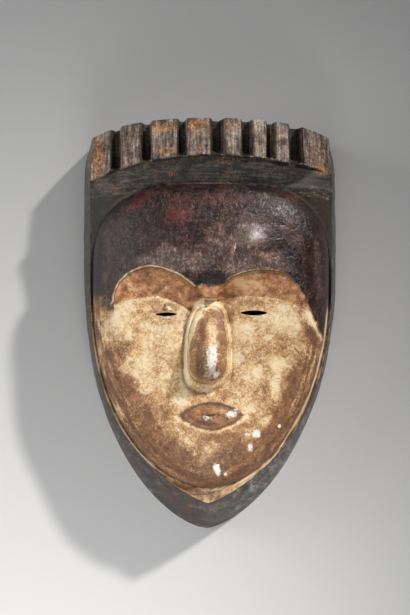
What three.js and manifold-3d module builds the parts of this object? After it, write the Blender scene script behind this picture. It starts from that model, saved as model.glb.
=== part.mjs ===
// A carved wooden face mask with a notched crest, hollow behind, lying on its back rim with the face up.
// Millimetres. +X is the viewer's right, +Y runs to the crest, +Z comes out of the face.
// The origin is the middle of the rim's box, on the plane that the rim rests on.
// The mask is carved from one block, so every form below is joined into, or cut out of, a single solid.
import * as THREE from "three";
import { mergeVertices } from "three/addons/utils/BufferGeometryUtils.js";
import Module from "manifold-3d";

// Outlines in plan. Each is widest at waistY and closes at waistY + rise and waistY - fall. A power and an
// ease set how square its upper end and how pointed its lower end are. A lean carries the chin to the left.
const RIM = { halfWidth: 108.8, waistY: 80, rise: 87.7, up: [9, 0.11], fall: 248, down: [2.5, 0.64] };
const EDGE = { halfWidth: 100.4, waistY: 73, rise: 84, up: [10, 0.1], fall: 219, down: [3.35, 0.81] };
const FACE = { halfWidth: 98, waistY: 42, rise: 71.6, up: [2.9, 0.345], fall: 176, down: [2.45, 0.58] };
const HOLLOW = { halfWidth: 99, waistY: 74, rise: 77, up: [4.5, 0.22], fall: 231, down: [2.45, 0.66] };
const LEAN_BELOW_Y = 22;
const LEAN = 0.016;
const MIDDLE = [0, 2];

// The outer walls and the narrow frame round the face. A rise lifts a line from fromY on, over a distance
// that is negative where it goes towards the chin.
const SIDE_EDGE_Z = 52;
const EDGE_RISES = [
  { lift: 10, fromY: -38, over: -108, power: 1.6 },
  { lift: 5, fromY: 42, over: 80, power: 1.5 },
];
const WALL_BELLY = 1.5;
const FRAME_DIP = 3;
const FRAME_INNER_SHARE = 0.985;

// The domed face and forehead, and the step down from the brows to the cheeks. A fade is the height at which
// something begins to change and the distance over which it does.
const TEMPLE_Z = 51;
const BORDER_RISES = [
  { lift: 29, fromY: 27, over: 85, power: 2.2 },
  { lift: 10, fromY: -48, over: -86, power: 1.5 },
];
const FOREHEAD_BULGE = 52;
const BULGE_PROFILE = [2.8, 0.55];
const CHIN_BULGE_LOSS = 16;
const CHIN_BULGE_FADE = [22, -156];
const CHEEK_DROP = 13;
const CHEEK_DROP_FADE = [-8, -100];
const TEMPLE_FADE = [45, 45];
const LEAST_DROP = 0.25;
const BROW_STEP = 1.6;
const CREASE_DIP = 1.4;
const SOCKET_HOLLOW = 0.9;

// Each brow is an arch over a peak, between an inner and an outer end, with two powers for the roundness of
// each half. The crease under it, where the socket meets the cheek, bends over a peak of its own. From the
// outer end the edge slopes down over the temple to the frame.
const BROWS = [
  {
    peak: [-51, 42.4], inner: [-5.5, 18], outer: [-79, 16.5], innerPowers: [2, 1], outerPowers: [2, 2],
    creasePeak: [-48, 20], creaseInnerBend: 0.0122, creaseOuterBend: 0.0066,
    temple: [[-120, -40], [-96, -8], [-91, 0], [-86, 8.5]],
  },
  {
    peak: [41.5, 39.9], inner: [4, 18], outer: [79.5, 12], innerPowers: [2, 2], outerPowers: [3, 1],
    creasePeak: [36, 20], creaseInnerBend: 0.0025, creaseOuterBend: 0.0068,
    temple: [[120, -40], [95, -12], [89, -4.3], [84, 3.3]],
  },
];
const CUSP_DIP = 6;
const CUSP_WIDTH = 19;
const CUSP_UPPER_FADE = [42, -26];
const CUSP_LOWER_FADE = [-40, 40];

// The crest: a smooth band under a row of eight blocks, curving back at both sides.
const CREST_HALF_WIDTH = 99;
const CREST_FRONT_Z = 98;
const CREST_RADIUS = 140;
const CREST_TOP_Y = 165.5;
const CREST_TOP_SAG = 8;
const BLOCK_FOOT_Y = 134;
const BLOCK_FOOT_SAG = 10;
const BLOCK_FOOT_TILT = 3.7;
const BLOCK_LEAN = 0.12;
const BAND_FOOT_Y = 113;
const BAND_FOOT_SAG = 8;
const BAND_STEP = 3.5;
const BAND_RECESS = 10;
// Notches from left to right: the mouth's middle, its width, and how far the floor lies off to the right.
const NOTCHES = [
  { mouthX: -79.5, mouth: 11, floorShift: 1.4 },
  { mouthX: -54, mouth: 11.2, floorShift: 1 },
  { mouthX: -24.2, mouth: 9.2, floorShift: 0 },
  { mouthX: 5.3, mouth: 14, floorShift: -1.8 },
  { mouthX: 29.5, mouth: 12.5, floorShift: -2 },
  { mouthX: 48.8, mouth: 9.4, floorShift: -1.2 },
  { mouthX: 71, mouth: 15, floorShift: -3 },
];
const NOTCH_DEPTH = 16;
const NOTCH_FLOOR_SHARE = 0.34;
const NOTCH_RUN_OUT = 7;
const NOTCH_FOOT_DROP = 3;

// Nose, mouth and eye slits.
const NOSE = {
  midX: -2.5, halfWidth: 18.6, waistY: -33, rise: 50, up: [2.6, 0.34], fall: 22.5, down: [3, 0.45],
};
const NOSE_CENTRE = [-3.2, -20];
const NOSE_ROOT_HEIGHT = 12;
const NOSE_TIP_GAIN = 13;
const NOSE_GAIN_FADE = [14, -52];
const NOSE_PROFILE = [2.4, 0.7];
const MOUTH = {
  midX: 1.2, halfWidth: 25.5, waistY: -75.5, rise: 10.6, up: [1.3, 0.6], fall: 11.8, down: [1.3, 0.6],
};
const LIPS = { midX: 1.2, halfWidth: 21, waistY: -75.8, rise: 6, up: [1.4, 0.6], fall: 9, down: [1.4, 0.6] };
const PARTING = { midX: 1.2, halfWidth: 16, waistY: -75.6, rise: 0.9, up: [2, 0.5], fall: 0.9, down: [2, 0.5] };
const MOUTH_DEPTH = 2.8;
const LIP_HEIGHT = 4;
const LIP_PROFILE = [2, 0.6];
const PARTING_DEPTH = 1.5;
const EYES = [
  { x: -36.6, y: 5.7, length: 17, height: 3 },
  { x: 33.8, y: 6.9, length: 21.5, height: 4 },
];
const EYE_FLARE = 1.7;
const EYE_THROAT_Z = 78;

// The hollow behind is deepest under the forehead and follows the face down to the chin.
const HOLLOW_DEPTH = 88;
const HOLLOW_PROFILE = [2.7, 0.55];
const HOLLOW_CHEEK_LOSS = 12;
const HOLLOW_CHEEK_FADE = [60, -50];
const HOLLOW_CHIN_LOSS = 6;
const HOLLOW_CHIN_FADE = [5, -130];

// Lengths that only have to be clear of the wood, and how far hidden edges run on inside it.
const FAR_OUT = 600;
const SIDE_REACH = 120;
const ABOVE_ALL = 140;
const PROUD = 6;
const ROOT_Z = 20;
const TUCK = 1.5;

const clamp = (t) => Math.min(1, Math.max(0, t));
const smooth = (t) => clamp(t) ** 2 * (3 - 2 * clamp(t));
const dome = (share, [power, ease]) => Math.max(0, 1 - clamp(share) ** power) ** ease;
const fade = (value, [from, over]) => smooth((value - from) / over);
const riseAt = (y, { lift, fromY, over, power }) => lift * clamp((y - fromY) / over) ** power;
const risesAt = (y, rises) => rises.reduce((sum, rise) => sum + riseAt(y, rise), 0);

// The middle of an outline at a height y: the block leans to one side below the brows.
const midAt = (outline, y) => (outline.midX ?? 0) + LEAN * Math.min(0, y - LEAN_BELOW_Y);

// Under 1 inside an outline, 1 on it and over 1 outside.
function levelOf(outline, x, y) {
  const above = y > outline.waistY;
  const reach = above ? outline.rise : outline.fall;
  const [power, ease] = above ? outline.up : outline.down;
  const sideways = Math.abs(x - midAt(outline, y)) / outline.halfWidth;
  return sideways ** (1 / ease) + (Math.abs(y - outline.waistY) / reach) ** power;
}

// The upper line of an outline at x.
function crownY(outline, x) {
  const [power, ease] = outline.up;
  return outline.waistY + outline.rise * (1 - (Math.abs(x) / outline.halfWidth) ** (1 / ease)) ** (1 / power);
}

// Distance from a centre to an outline along an angle, by halving.
function reachOf(outline, centre, angle) {
  let inside = 0;
  let outside = FAR_OUT;
  for (let step = 0; step < 48; step++) {
    const middle = (inside + outside) / 2;
    const x = centre[0] + middle * Math.cos(angle);
    const y = centre[1] + middle * Math.sin(angle);
    if (levelOf(outline, x, y) < 1) inside = middle;
    else outside = middle;
  }
  return inside;
}

// Share of the way from a centre to an outline at which a point lies.
function shareOf(outline, centre, x, y) {
  const away = Math.hypot(x - centre[0], y - centre[1]);
  if (away < 1e-9) return 0;
  return away / reachOf(outline, centre, Math.atan2(y - centre[1], x - centre[0]));
}

// The frame's outer edge: level at the cheeks, a little higher at the crown and at the chin.
const edgeZ = (y) => SIDE_EDGE_Z + risesAt(y, EDGE_RISES);

// The line round the face where dome and frame meet.
const borderZ = (y) => TEMPLE_Z + risesAt(y, BORDER_RISES);

// The forehead's surface, carried on under the brows to the chin, and dipping between the brows.
function domeZ(x, y) {
  const bulge = FOREHEAD_BULGE - CHIN_BULGE_LOSS * fade(y, CHIN_BULGE_FADE);
  const across = Math.exp(-((x / CUSP_WIDTH) ** 2));
  const dip = CUSP_DIP * across * fade(y, CUSP_UPPER_FADE) * fade(y, CUSP_LOWER_FADE);
  return borderZ(y) + bulge * dome(shareOf(FACE, MIDDLE, x, y), BULGE_PROFILE) - dip;
}

const browAt = (x) => (x < (BROWS[0].inner[0] + BROWS[1].inner[0]) / 2 ? BROWS[0] : BROWS[1]);
const towardsNose = (brow, x, peakX) => (brow.outer[0] < 0 ? x > peakX : x < peakX);

// Height in plan of the brow line at x.
function browY(x) {
  const brow = browAt(x);
  const inward = towardsNose(brow, x, brow.peak[0]);
  const end = inward ? brow.inner : brow.outer;
  const [power, root] = inward ? brow.innerPowers : brow.outerPowers;
  const share = clamp((x - brow.peak[0]) / (end[0] - brow.peak[0]));
  return end[1] + (brow.peak[1] - end[1]) * (1 - share ** power) ** (1 / root);
}

// Height in plan of the crease at x.
function creaseY(x) {
  const brow = browAt(x);
  const inward = towardsNose(brow, x, brow.creasePeak[0]);
  const bend = inward ? brow.creaseInnerBend : brow.creaseOuterBend;
  return brow.creasePeak[1] - bend * (x - brow.creasePeak[0]) ** 2;
}

// How much of a drop or step is left towards the temples, where it fades out.
const insideTemples = (x) => 1 - fade(Math.abs(x), TEMPLE_FADE);

// The cheeks lie below the forehead and come up to the dome again at the chin and the temples.
function cheekZ(x, y) {
  const drop = CHEEK_DROP * insideTemples(x) * (1 - fade(y, CHEEK_DROP_FADE));
  return domeZ(x, y) - Math.max(LEAST_DROP, drop);
}

// The socket's slope under a brow: from just under the brow's edge down behind the cheek's upper edge.
function socketZ(x, down) {
  const top = domeZ(x, browY(x)) - BROW_STEP * insideTemples(x);
  const foot = cheekZ(x, creaseY(x)) - CREASE_DIP * insideTemples(x);
  return THREE.MathUtils.lerp(top, foot, clamp(down) ** SOCKET_HOLLOW);
}

// The crest's front, curving back at the sides, and its lines in plan.
const crestZ = (x) => CREST_FRONT_Z - CREST_RADIUS + Math.sqrt(CREST_RADIUS ** 2 - x ** 2);
const outShare = (x) => x / CREST_HALF_WIDTH;
const crestTopY = (x) => CREST_TOP_Y - CREST_TOP_SAG * outShare(x) ** 4;
const footTilt = (x) => BLOCK_FOOT_TILT * outShare(x) ** 3;
const blockFootY = (x) => BLOCK_FOOT_Y - BLOCK_FOOT_SAG * outShare(x) ** 2 + footTilt(x);
const bandFootY = (x) => BAND_FOOT_Y - BAND_FOOT_SAG * outShare(x) ** 2;
const blockZ = (x, y) => crestZ(x) - BLOCK_LEAN * (y - blockFootY(x));

function bandZ(x, y) {
  const fall = clamp((blockFootY(x) - y) / (blockFootY(x) - bandFootY(x)));
  return crestZ(x) - BAND_STEP - BAND_RECESS * (1 - outShare(x) ** 2) * fall;
}

const wasm = await Module();
wasm.setup();

// A solid from points and triangles.
function solidFrom(points, faces) {
  const geometry = new THREE.BufferGeometry().setFromPoints(points).setIndex(faces);
  const merged = mergeVertices(geometry, 1e-4);
  return new wasm.Manifold(
    new wasm.Mesh({
      numProp: 3,
      vertProperties: new Float32Array(merged.attributes.position.array),
      triVerts: new Uint32Array(merged.index.array),
    }),
  );
}

// A solid through closed rings, from the lowest to the highest, with a point in the middle of each end.
function ringSolid(rings, lowEnd, highEnd) {
  const count = rings[0].length;
  const points = rings.flat();
  const faces = [];
  for (let r = 0; r + 1 < rings.length; r++) {
    for (let k = 0; k < count; k++) {
      const a = r * count + k;
      const b = r * count + ((k + 1) % count);
      const [c, d] = [b + count, a + count];
      const straight = points[a].distanceTo(points[c]) <= points[b].distanceTo(points[d]);
      faces.push(...(straight ? [a, b, c, a, c, d] : [a, b, d, b, c, d]));
    }
  }
  const last = (rings.length - 1) * count;
  const low = points.push(lowEnd) - 1;
  const high = points.push(highEnd) - 1;
  for (let k = 0; k < count; k++) {
    const next = (k + 1) % count;
    faces.push(low, next, k, high, last + k, last + next);
  }
  return solidFrom(points, faces);
}

// Points round an outline, at a share of the way out from a centre.
function ringAt(outline, centre, share, angles, heightAt) {
  return angles.map((angle) => {
    const reach = share * reachOf(outline, centre, angle);
    const x = centre[0] + reach * Math.cos(angle);
    const y = centre[1] + reach * Math.sin(angle);
    return new THREE.Vector3(x, y, heightAt(x, y));
  });
}

// Angles that step evenly along an outline, starting at its lowest point.
function evenAngles(outline, centre, count) {
  const fine = 720;
  const lengths = [0];
  const lowestY = outline.waistY - outline.fall;
  const start = Math.atan2(lowestY - centre[1], midAt(outline, lowestY) - centre[0]);
  const angleAt = (k) => start + (2 * Math.PI * k) / fine;
  const pointAt = (k) => {
    const angle = angleAt(k);
    const reach = reachOf(outline, centre, angle);
    return new THREE.Vector2(reach * Math.cos(angle), reach * Math.sin(angle));
  };
  for (let k = 1; k <= fine; k++) lengths.push(lengths[k - 1] + pointAt(k).distanceTo(pointAt(k - 1)));
  const angles = [];
  for (let n = 0; n < count; n++) {
    const wanted = (lengths[fine] * n) / count;
    const k = Math.max(1, lengths.findIndex((length) => length > wanted));
    const part = (wanted - lengths[k - 1]) / (lengths[k] - lengths[k - 1]);
    angles.push(angleAt(k - 1 + part));
  }
  return angles;
}

// A slab over an outline: a flat or shaped lower side, a shaped upper side, and a straight wall between.
function slab({ outline, centre, count, rings, crowd = 1.8, lower, upper }) {
  const angles = evenAngles(outline, centre, count);
  const shares = Array.from({ length: rings }, (_, k) => 1 - (k / rings) ** crowd);
  const flat = typeof lower === "number";
  const lowerAt = flat ? () => lower : lower;
  const lowerShares = flat ? [1] : [...shares].reverse();
  const up = shares.map((share) => ringAt(outline, centre, share, angles, upper));
  const down = lowerShares.map((share) => ringAt(outline, centre, share, angles, lowerAt));
  const end = (heightAt) => new THREE.Vector3(centre[0], centre[1], heightAt(centre[0], centre[1]));
  return ringSolid([...down, ...up], end(lowerAt), end(upper));
}

// A four-sided slab over a grid in plan, with a shaped top; each point of its underside follows the one above.
function gridSlab({ columns, rows, topAt, underAt }) {
  const points = [];
  const faces = [];
  for (const layer of [0, 1]) {
    for (let r = 0; r <= rows; r++) {
      for (let c = 0; c <= columns; c++) {
        const point = topAt(c / columns, r);
        points.push(layer ? point : underAt(point, r));
      }
    }
  }
  const at = (layer, r, c) => (layer * (rows + 1) + r) * (columns + 1) + c;
  const quad = (a, b, c, d) => faces.push(a, b, c, a, c, d);
  for (let r = 0; r < rows; r++) {
    for (let c = 0; c < columns; c++) {
      quad(at(1, r, c), at(1, r, c + 1), at(1, r + 1, c + 1), at(1, r + 1, c));
      quad(at(0, r, c), at(0, r + 1, c), at(0, r + 1, c + 1), at(0, r, c + 1));
    }
    quad(at(0, r, 0), at(1, r, 0), at(1, r + 1, 0), at(0, r + 1, 0));
    quad(at(0, r + 1, columns), at(1, r + 1, columns), at(1, r, columns), at(0, r, columns));
  }
  for (let c = 0; c < columns; c++) {
    quad(at(0, 0, c + 1), at(1, 0, c + 1), at(1, 0, c), at(0, 0, c));
    quad(at(0, rows, c), at(1, rows, c), at(1, rows, c + 1), at(0, rows, c + 1));
  }
  return solidFrom(points, faces);
}

// A slab across the crest, between two lines in plan. Its back may slope out to another line at the rim.
function crestSlab({ lowY, highY, topZ, bottomZ, rows, backY }) {
  return gridSlab({
    columns: 40, rows,
    topAt: (share, r) => {
      const x = CREST_HALF_WIDTH * (2 * share - 1);
      const y = THREE.MathUtils.lerp(lowY(x), highY(x), r / rows);
      return new THREE.Vector3(x, y, topZ(x, y));
    },
    underAt: (point, r) => {
      if (r < rows || !backY) return point.clone().setZ(bottomZ);
      return new THREE.Vector3(point.x, backY(point.x), 0);
    },
  });
}

// The outer shell: walls from the rim in to the frame's edge, and the frame down to the line round the face.
function shell() {
  const angles = evenAngles(RIM, MIDDLE, 96);
  const rim = ringAt(RIM, MIDDLE, 1, angles, () => 0);
  const edge = ringAt(EDGE, MIDDLE, 1, angles, (x, y) => edgeZ(y));
  const middle = rim.map((point, k) => {
    const halfway = point.clone().lerp(edge[k], 0.5);
    const outward = new THREE.Vector3(point.x, point.y, 0).normalize();
    return halfway.addScaledVector(outward, WALL_BELLY);
  });
  const crease = ringAt(FACE, MIDDLE, FRAME_INNER_SHARE, angles, (x, y) => borderZ(y) - FRAME_DIP);
  const slope = edge.map((point, k) => point.clone().lerp(crease[k], 0.5));
  const under = new THREE.Vector3(MIDDLE[0], MIDDLE[1], 0);
  return ringSolid([rim, middle, edge, slope, crease], under, under.clone().setZ(ROOT_Z));
}

// A tall block over everything on one side of a line in plan.
function sideOf(line, farY) {
  const farCorners = [SIDE_REACH, -SIDE_REACH].map((x) => new THREE.Vector2(x, farY));
  const side = new THREE.Shape([...line, ...farCorners]);
  const cut = new THREE.ExtrudeGeometry(side, { depth: ABOVE_ALL, bevelEnabled: false });
  const corners = cut.attributes.position;
  const cornerAt = (_, k) => new THREE.Vector3().fromBufferAttribute(corners, k);
  const points = Array.from({ length: corners.count }, cornerAt);
  return solidFrom(points, points.map((_, k) => k));
}

// Points across a brow from its outer to its inner end, closer together at the ends.
function xAcross(brow, share) {
  const eased = (1 - Math.cos(Math.PI * share)) / 2;
  return THREE.MathUtils.lerp(brow.outer[0], brow.inner[0], eased);
}

// A line in plan over both brows, left to right, and out over the temples to the sides. The tuck carries it
// in under the forehead wherever it doesn't follow the crease.
function lineOver(heightAt, tuck) {
  const steps = 24;
  const half = (brow) => Array.from({ length: steps + 1 }, (_, k) => {
    const x = xAcross(brow, k / steps);
    return new THREE.Vector2(x, k > 0 && k < steps ? heightAt(x) : browY(x) + tuck);
  });
  const temple = (brow) => brow.temple.map(([x, y]) => new THREE.Vector2(x, y + tuck));
  const [left, right] = BROWS;
  return [...temple(left), ...half(left), ...half(right).reverse(), ...temple(right).reverse()];
}

// The slope of one socket, tucked under the forehead above and under the cheek below.
function socket(brow) {
  const downs = [1.15, 1, 0.66, 0.33, 0, -0.15];
  return gridSlab({
    columns: 24, rows: downs.length - 1,
    underAt: (point) => point.clone().setZ(ROOT_Z),
    topAt: (share, r) => {
      const x = xAcross(brow, brow.outer[0] < 0 ? share : 1 - share);
      const y = THREE.MathUtils.lerp(browY(x), creaseY(x), downs[r]);
      const hidden = downs[r] > 1 || downs[r] < 0;
      return new THREE.Vector3(x, y, socketZ(x, downs[r]) - (hidden ? TUCK : 0));
    },
  });
}

// The forehead is the dome above the brow line; the cheeks run from the sockets to the chin.
function face() {
  const layout = { outline: FACE, centre: MIDDLE, count: 92, rings: 15, lower: ROOT_Z };
  const forehead = slab({ ...layout, upper: domeZ }).intersect(sideOf(lineOver(browY, 0), SIDE_REACH));
  const cheekLine = lineOver((x) => Math.min(browY(x), creaseY(x)), 0.6);
  const cheeks = slab({ ...layout, upper: cheekZ }).intersect(sideOf(cheekLine, -2 * SIDE_REACH));
  return forehead.add(cheeks).add(socket(BROWS[0])).add(socket(BROWS[1]));
}

// One notch: open at the front and the top, narrow at its floor, running out to the front at its foot.
function notch({ mouthX, mouth, floorShift }) {
  const topY = crestTopY(mouthX) + 2 * PROUD;
  const frontZ = crestZ(mouthX);
  const level = (x, width, footY, z) => [
    new THREE.Vector3(x - width / 2, footY, z),
    new THREE.Vector3(x + width / 2, footY, z),
    new THREE.Vector3(x + width / 2, topY, z),
    new THREE.Vector3(x - width / 2, topY, z),
  ];
  const spread = 1 + (PROUD / NOTCH_DEPTH) * (1 - NOTCH_FLOOR_SHARE);
  const floorX = mouthX + floorShift;
  const footY = blockFootY(mouthX);
  const floor = level(floorX, mouth * NOTCH_FLOOR_SHARE, footY + NOTCH_RUN_OUT, frontZ - NOTCH_DEPTH);
  const open = level(mouthX, mouth * spread, footY - NOTCH_FOOT_DROP, frontZ + PROUD);
  const inside = (x, z) => new THREE.Vector3(x, topY - PROUD, z);
  return ringSolid([floor, open], inside(floorX, floor[0].z), inside(mouthX, open[0].z));
}

function crest() {
  const underTop = (x) => crestTopY(x) - 2 * TUCK;
  const justOutside = (x) => crownY(RIM, x) + TUCK / 5;
  const band = crestSlab({ lowY: bandFootY, highY: underTop, topZ: bandZ, bottomZ: 12, rows: 4 });
  const blocks = crestSlab({
    lowY: blockFootY, highY: crestTopY, topZ: blockZ, bottomZ: 14, rows: 2, backY: justOutside,
  });
  return band.add(blocks);
}

function nose() {
  const height = (y) => NOSE_ROOT_HEIGHT + NOSE_TIP_GAIN * fade(y, NOSE_GAIN_FADE);
  const swell = (x, y) => height(y) * dome(shareOf(NOSE, NOSE_CENTRE, x, y), NOSE_PROFILE);
  return slab({
    outline: NOSE, centre: NOSE_CENTRE, count: 40, rings: 8, lower: 62,
    upper: (x, y) => cheekZ(x, y) - 1 + swell(x, y),
  });
}

// The mouth is a shallow hollow with the lips standing in it, parted by a fine groove.
function mouthCut(outline, depth, count) {
  const centre = [midAt(outline, outline.waistY), outline.waistY];
  return slab({
    outline, centre, count, rings: 4, upper: () => ABOVE_ALL,
    lower: (x, y) => cheekZ(x, y) + 0.4 - depth * dome(shareOf(outline, centre, x, y), [4, 1]),
  });
}

function lips() {
  const centre = [midAt(LIPS, LIPS.waistY), LIPS.waistY];
  return slab({
    outline: LIPS, centre, count: 32, rings: 5, lower: 66,
    upper: (x, y) => cheekZ(x, y) - MOUTH_DEPTH + LIP_HEIGHT * dome(shareOf(LIPS, centre, x, y), LIP_PROFILE),
  });
}

// An eye: a thin slit that is open right through and wider at the back.
function eyeSlit({ x, y, length, height }) {
  const ring = (z, flare) => Array.from({ length: 20 }, (_, k) => {
    const angle = (2 * Math.PI * k) / 20;
    return new THREE.Vector3(
      x + (length / 2) * flare ** 0.5 * Math.cos(angle),
      y + (height / 2) * flare * Math.sin(angle) * Math.abs(Math.sin(angle)) ** 0.3,
      z,
    );
  });
  const levels = [[2 * ROOT_Z, 2 * EYE_FLARE], [EYE_THROAT_Z, 1], [ABOVE_ALL, 1]];
  const rings = levels.map(([z, flare]) => ring(z, flare));
  return ringSolid(rings, new THREE.Vector3(x, y, levels[0][0]), new THREE.Vector3(x, y, levels[2][0]));
}

function hollow() {
  return slab({
    outline: HOLLOW, centre: MIDDLE, count: 72, rings: 9, lower: -PROUD,
    upper: (x, y) => {
      const cheekLoss = HOLLOW_CHEEK_LOSS * fade(y, HOLLOW_CHEEK_FADE);
      const chinLoss = HOLLOW_CHIN_LOSS * fade(y, HOLLOW_CHIN_FADE);
      return (HOLLOW_DEPTH - cheekLoss - chinLoss) * dome(shareOf(HOLLOW, MIDDLE, x, y), HOLLOW_PROFILE);
    },
  });
}

let carved = shell().add(face()).add(crest()).add(nose());
carved = carved.subtract(mouthCut(MOUTH, MOUTH_DEPTH, 32)).add(lips());
carved = carved.subtract(mouthCut(PARTING, PARTING_DEPTH, 20));
for (const cut of NOTCHES) carved = carved.subtract(notch(cut));
for (const eye of EYES) carved = carved.subtract(eyeSlit(eye));
carved = carved.subtract(hollow());

const made = carved.getMesh();
const geometry = new THREE.BufferGeometry()
  .setAttribute("position", new THREE.BufferAttribute(made.vertProperties, 3))
  .setIndex(new THREE.BufferAttribute(made.triVerts, 1));
const wood = new THREE.MeshStandardMaterial({ color: 0x8a6a4c, roughness: 0.6, metalness: 0 });

const mask = new THREE.Mesh(geometry, wood);
mask.name = "carved_mask";

const group = new THREE.Group();
group.add(mask);
export default group;
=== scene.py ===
"""The carved face mask, dressed: one finely carved mesh over the CAD solid, its finishes and a plain studio.

Lengths are millimetres in the CAD's frame (+X the viewer's right, +Y to the crest, +Z out of the face) and
become metres where a mesh, a lamp or the camera is placed.
"""
import logging
import math
from collections.abc import Callable, Sequence
from dataclasses import dataclass, field
from enum import Enum

import bpy
import numpy as np
from mathutils import Matrix, Vector


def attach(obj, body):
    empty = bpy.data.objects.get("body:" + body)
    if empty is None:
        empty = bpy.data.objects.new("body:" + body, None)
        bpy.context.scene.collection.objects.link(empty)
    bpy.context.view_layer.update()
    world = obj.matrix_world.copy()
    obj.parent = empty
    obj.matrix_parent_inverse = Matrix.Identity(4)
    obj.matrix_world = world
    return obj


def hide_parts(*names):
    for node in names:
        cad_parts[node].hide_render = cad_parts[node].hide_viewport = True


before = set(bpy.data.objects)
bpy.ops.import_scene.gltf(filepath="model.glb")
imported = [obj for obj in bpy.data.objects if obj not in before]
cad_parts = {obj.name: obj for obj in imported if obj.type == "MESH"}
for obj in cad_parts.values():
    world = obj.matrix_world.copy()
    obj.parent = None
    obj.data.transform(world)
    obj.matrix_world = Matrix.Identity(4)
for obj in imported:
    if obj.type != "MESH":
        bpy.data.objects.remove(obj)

LOG = logging.getLogger("mask")
Array = np.ndarray
Pair = tuple[float, float]
Place = tuple[float, float, float]
Socket = bpy.types.NodeSocket
Tree = bpy.types.NodeTree
MM = 0.001
SHARP_ANGLE = 50.0
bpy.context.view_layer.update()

# Repeatable noise: the number of its lattice values, how they are looked up, and the shift from layer to layer
LATTICE = 8192
PRIMES = (73856093, 19349663, 83492791)
LAYER_SHIFT = 7.3
CARVING_SEED = 11


# Small maths

def clamp(value: Array) -> Array:
    """Hold values between 0 and 1."""
    return np.clip(value, 0.0, 1.0)


def smooth(value: Array) -> Array:
    """Ease values from 0 to 1 with level ends."""
    held = clamp(value)
    return held * held * (3.0 - 2.0 * held)


def fade(value: Array, start_and_span: Pair) -> Array:
    """Ease from 0 at a start to 1 a span further on."""
    return smooth((value - start_and_span[0]) / start_and_span[1])


def dome(share: Array, profile: Pair) -> Array:
    """Height of a dome, 1 in the middle and 0 at its outline."""
    return np.maximum(0.0, 1.0 - clamp(share) ** profile[0]) ** profile[1]


def edge(value: Array, width: float | Array) -> Array:
    """Ease from 0 to 1 over a width about 0."""
    return smooth(value / width + 0.5)


def peak(value: Array, middle: float | Array, width: float | Array) -> Array:
    """1 at a middle value, and less the further from it, over a width."""
    return np.exp(-(((value - middle) / width) ** 2))


def mix(low: Array, high: Array, share: Array) -> Array:
    """Go from low to high by a share."""
    return low + (high - low) * share


def soft_min(first: Array, second: Array, radius: float) -> Array:
    """Take the lower of two surfaces, with a rounded join."""
    share = clamp(0.5 + 0.5 * (second - first) / radius)
    return mix(second, first, share) - radius * share * (1.0 - share)


def soft_max(first: Array, second: Array, radius: float) -> Array:
    """Take the higher of two surfaces, with a rounded join."""
    return -soft_min(-first, -second, radius)


class Grain:
    """Repeatable soft noise on a lattice, the same on every run."""

    def __init__(self, seed: int) -> None:
        """Draw the lattice's values.

        Args:
            seed: Number that fixes the draw.
        """
        self.values = np.random.default_rng(seed).random(LATTICE)

    def __call__(self, x: Array, y: Array, size: Pair, octaves: int, z: Array | float) -> Array:
        """Give noise between about -1 and 1.

        Args:
            x: Places across, in mm.
            y: Places along, in mm.
            size: Size of the largest lumps across and along.
            octaves: Layers, each half the size of the one before.
            z: Places in depth, in the same size as across.

        Returns:
            One value for each place.
        """
        total = np.zeros(np.broadcast(x, y, z).shape)
        weight = 0.0
        for octave in range(octaves):
            scale = 2.0 ** octave
            depth = z * scale / size[0] + LAYER_SHIFT * octave
            total += self._layer(x * scale / size[0], y * scale / size[1], depth) / scale
            weight += 1.0 / scale
        return 2.0 * total / weight - 1.0

    def _layer(self, x: Array, y: Array, z: Array) -> Array:
        """Blend the lattice values round each place.

        Args:
            x: Places across, in steps of the lattice.
            y: Places along.
            z: Places in depth.

        Returns:
            One value for each place, between 0 and 1.
        """
        x, y, z = np.broadcast_arrays(x, y, z)
        corner = [np.floor(axis).astype(np.int64) for axis in (x, y, z)]
        part = [smooth(axis - low) for axis, low in zip((x, y, z), corner)]
        total = np.zeros(x.shape)
        for k in range(8):
            step = (k & 1, k >> 1 & 1, k >> 2)
            share = np.ones(x.shape)
            for axis in range(3):
                share = share * (part[axis] if step[axis] else 1.0 - part[axis])
            key = sum((corner[axis] + step[axis]) * prime for axis, prime in enumerate(PRIMES))
            total += share * self.values[key % len(self.values)]
        return total


GRAIN = Grain(CARVING_SEED)


@dataclass(frozen=True)
class Unevenness:
    """Soft lumps of one height and size.

    Args:
        height: Their height, or their strength in the paint.
        size: Their size across and along.
        octaves: Layers, each half the size of the one before.
        layer: Where in the noise they lie, so that no two are alike.
    """

    height: float
    size: Pair
    octaves: int
    layer: float

    def at(self, x: Array, y: Array, deeper: Array | float = 0.0) -> Array:
        """Their height at each place, in a layer that may lie deeper."""
        return self.height * GRAIN(x, y, self.size, self.octaves, self.layer + deeper)


RAGGED_FEET = Unevenness(1.0, (7.0, 7.0), 3, 40.0)


# The carved form, from the same named sizes as the solid

LEAN_BELOW_Y = 22.0
LEAN = 0.016
MIDDLE: Pair = (0.0, 2.0)
FAR_OUT = 600.0
HALVINGS = 26
LINE_REACH = 110.0
LINE_POINTS = 400
CHIN_POINTS = 600
WOBBLE_TURNS = 4.0
NEAR_ZERO = 1e-6


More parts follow.
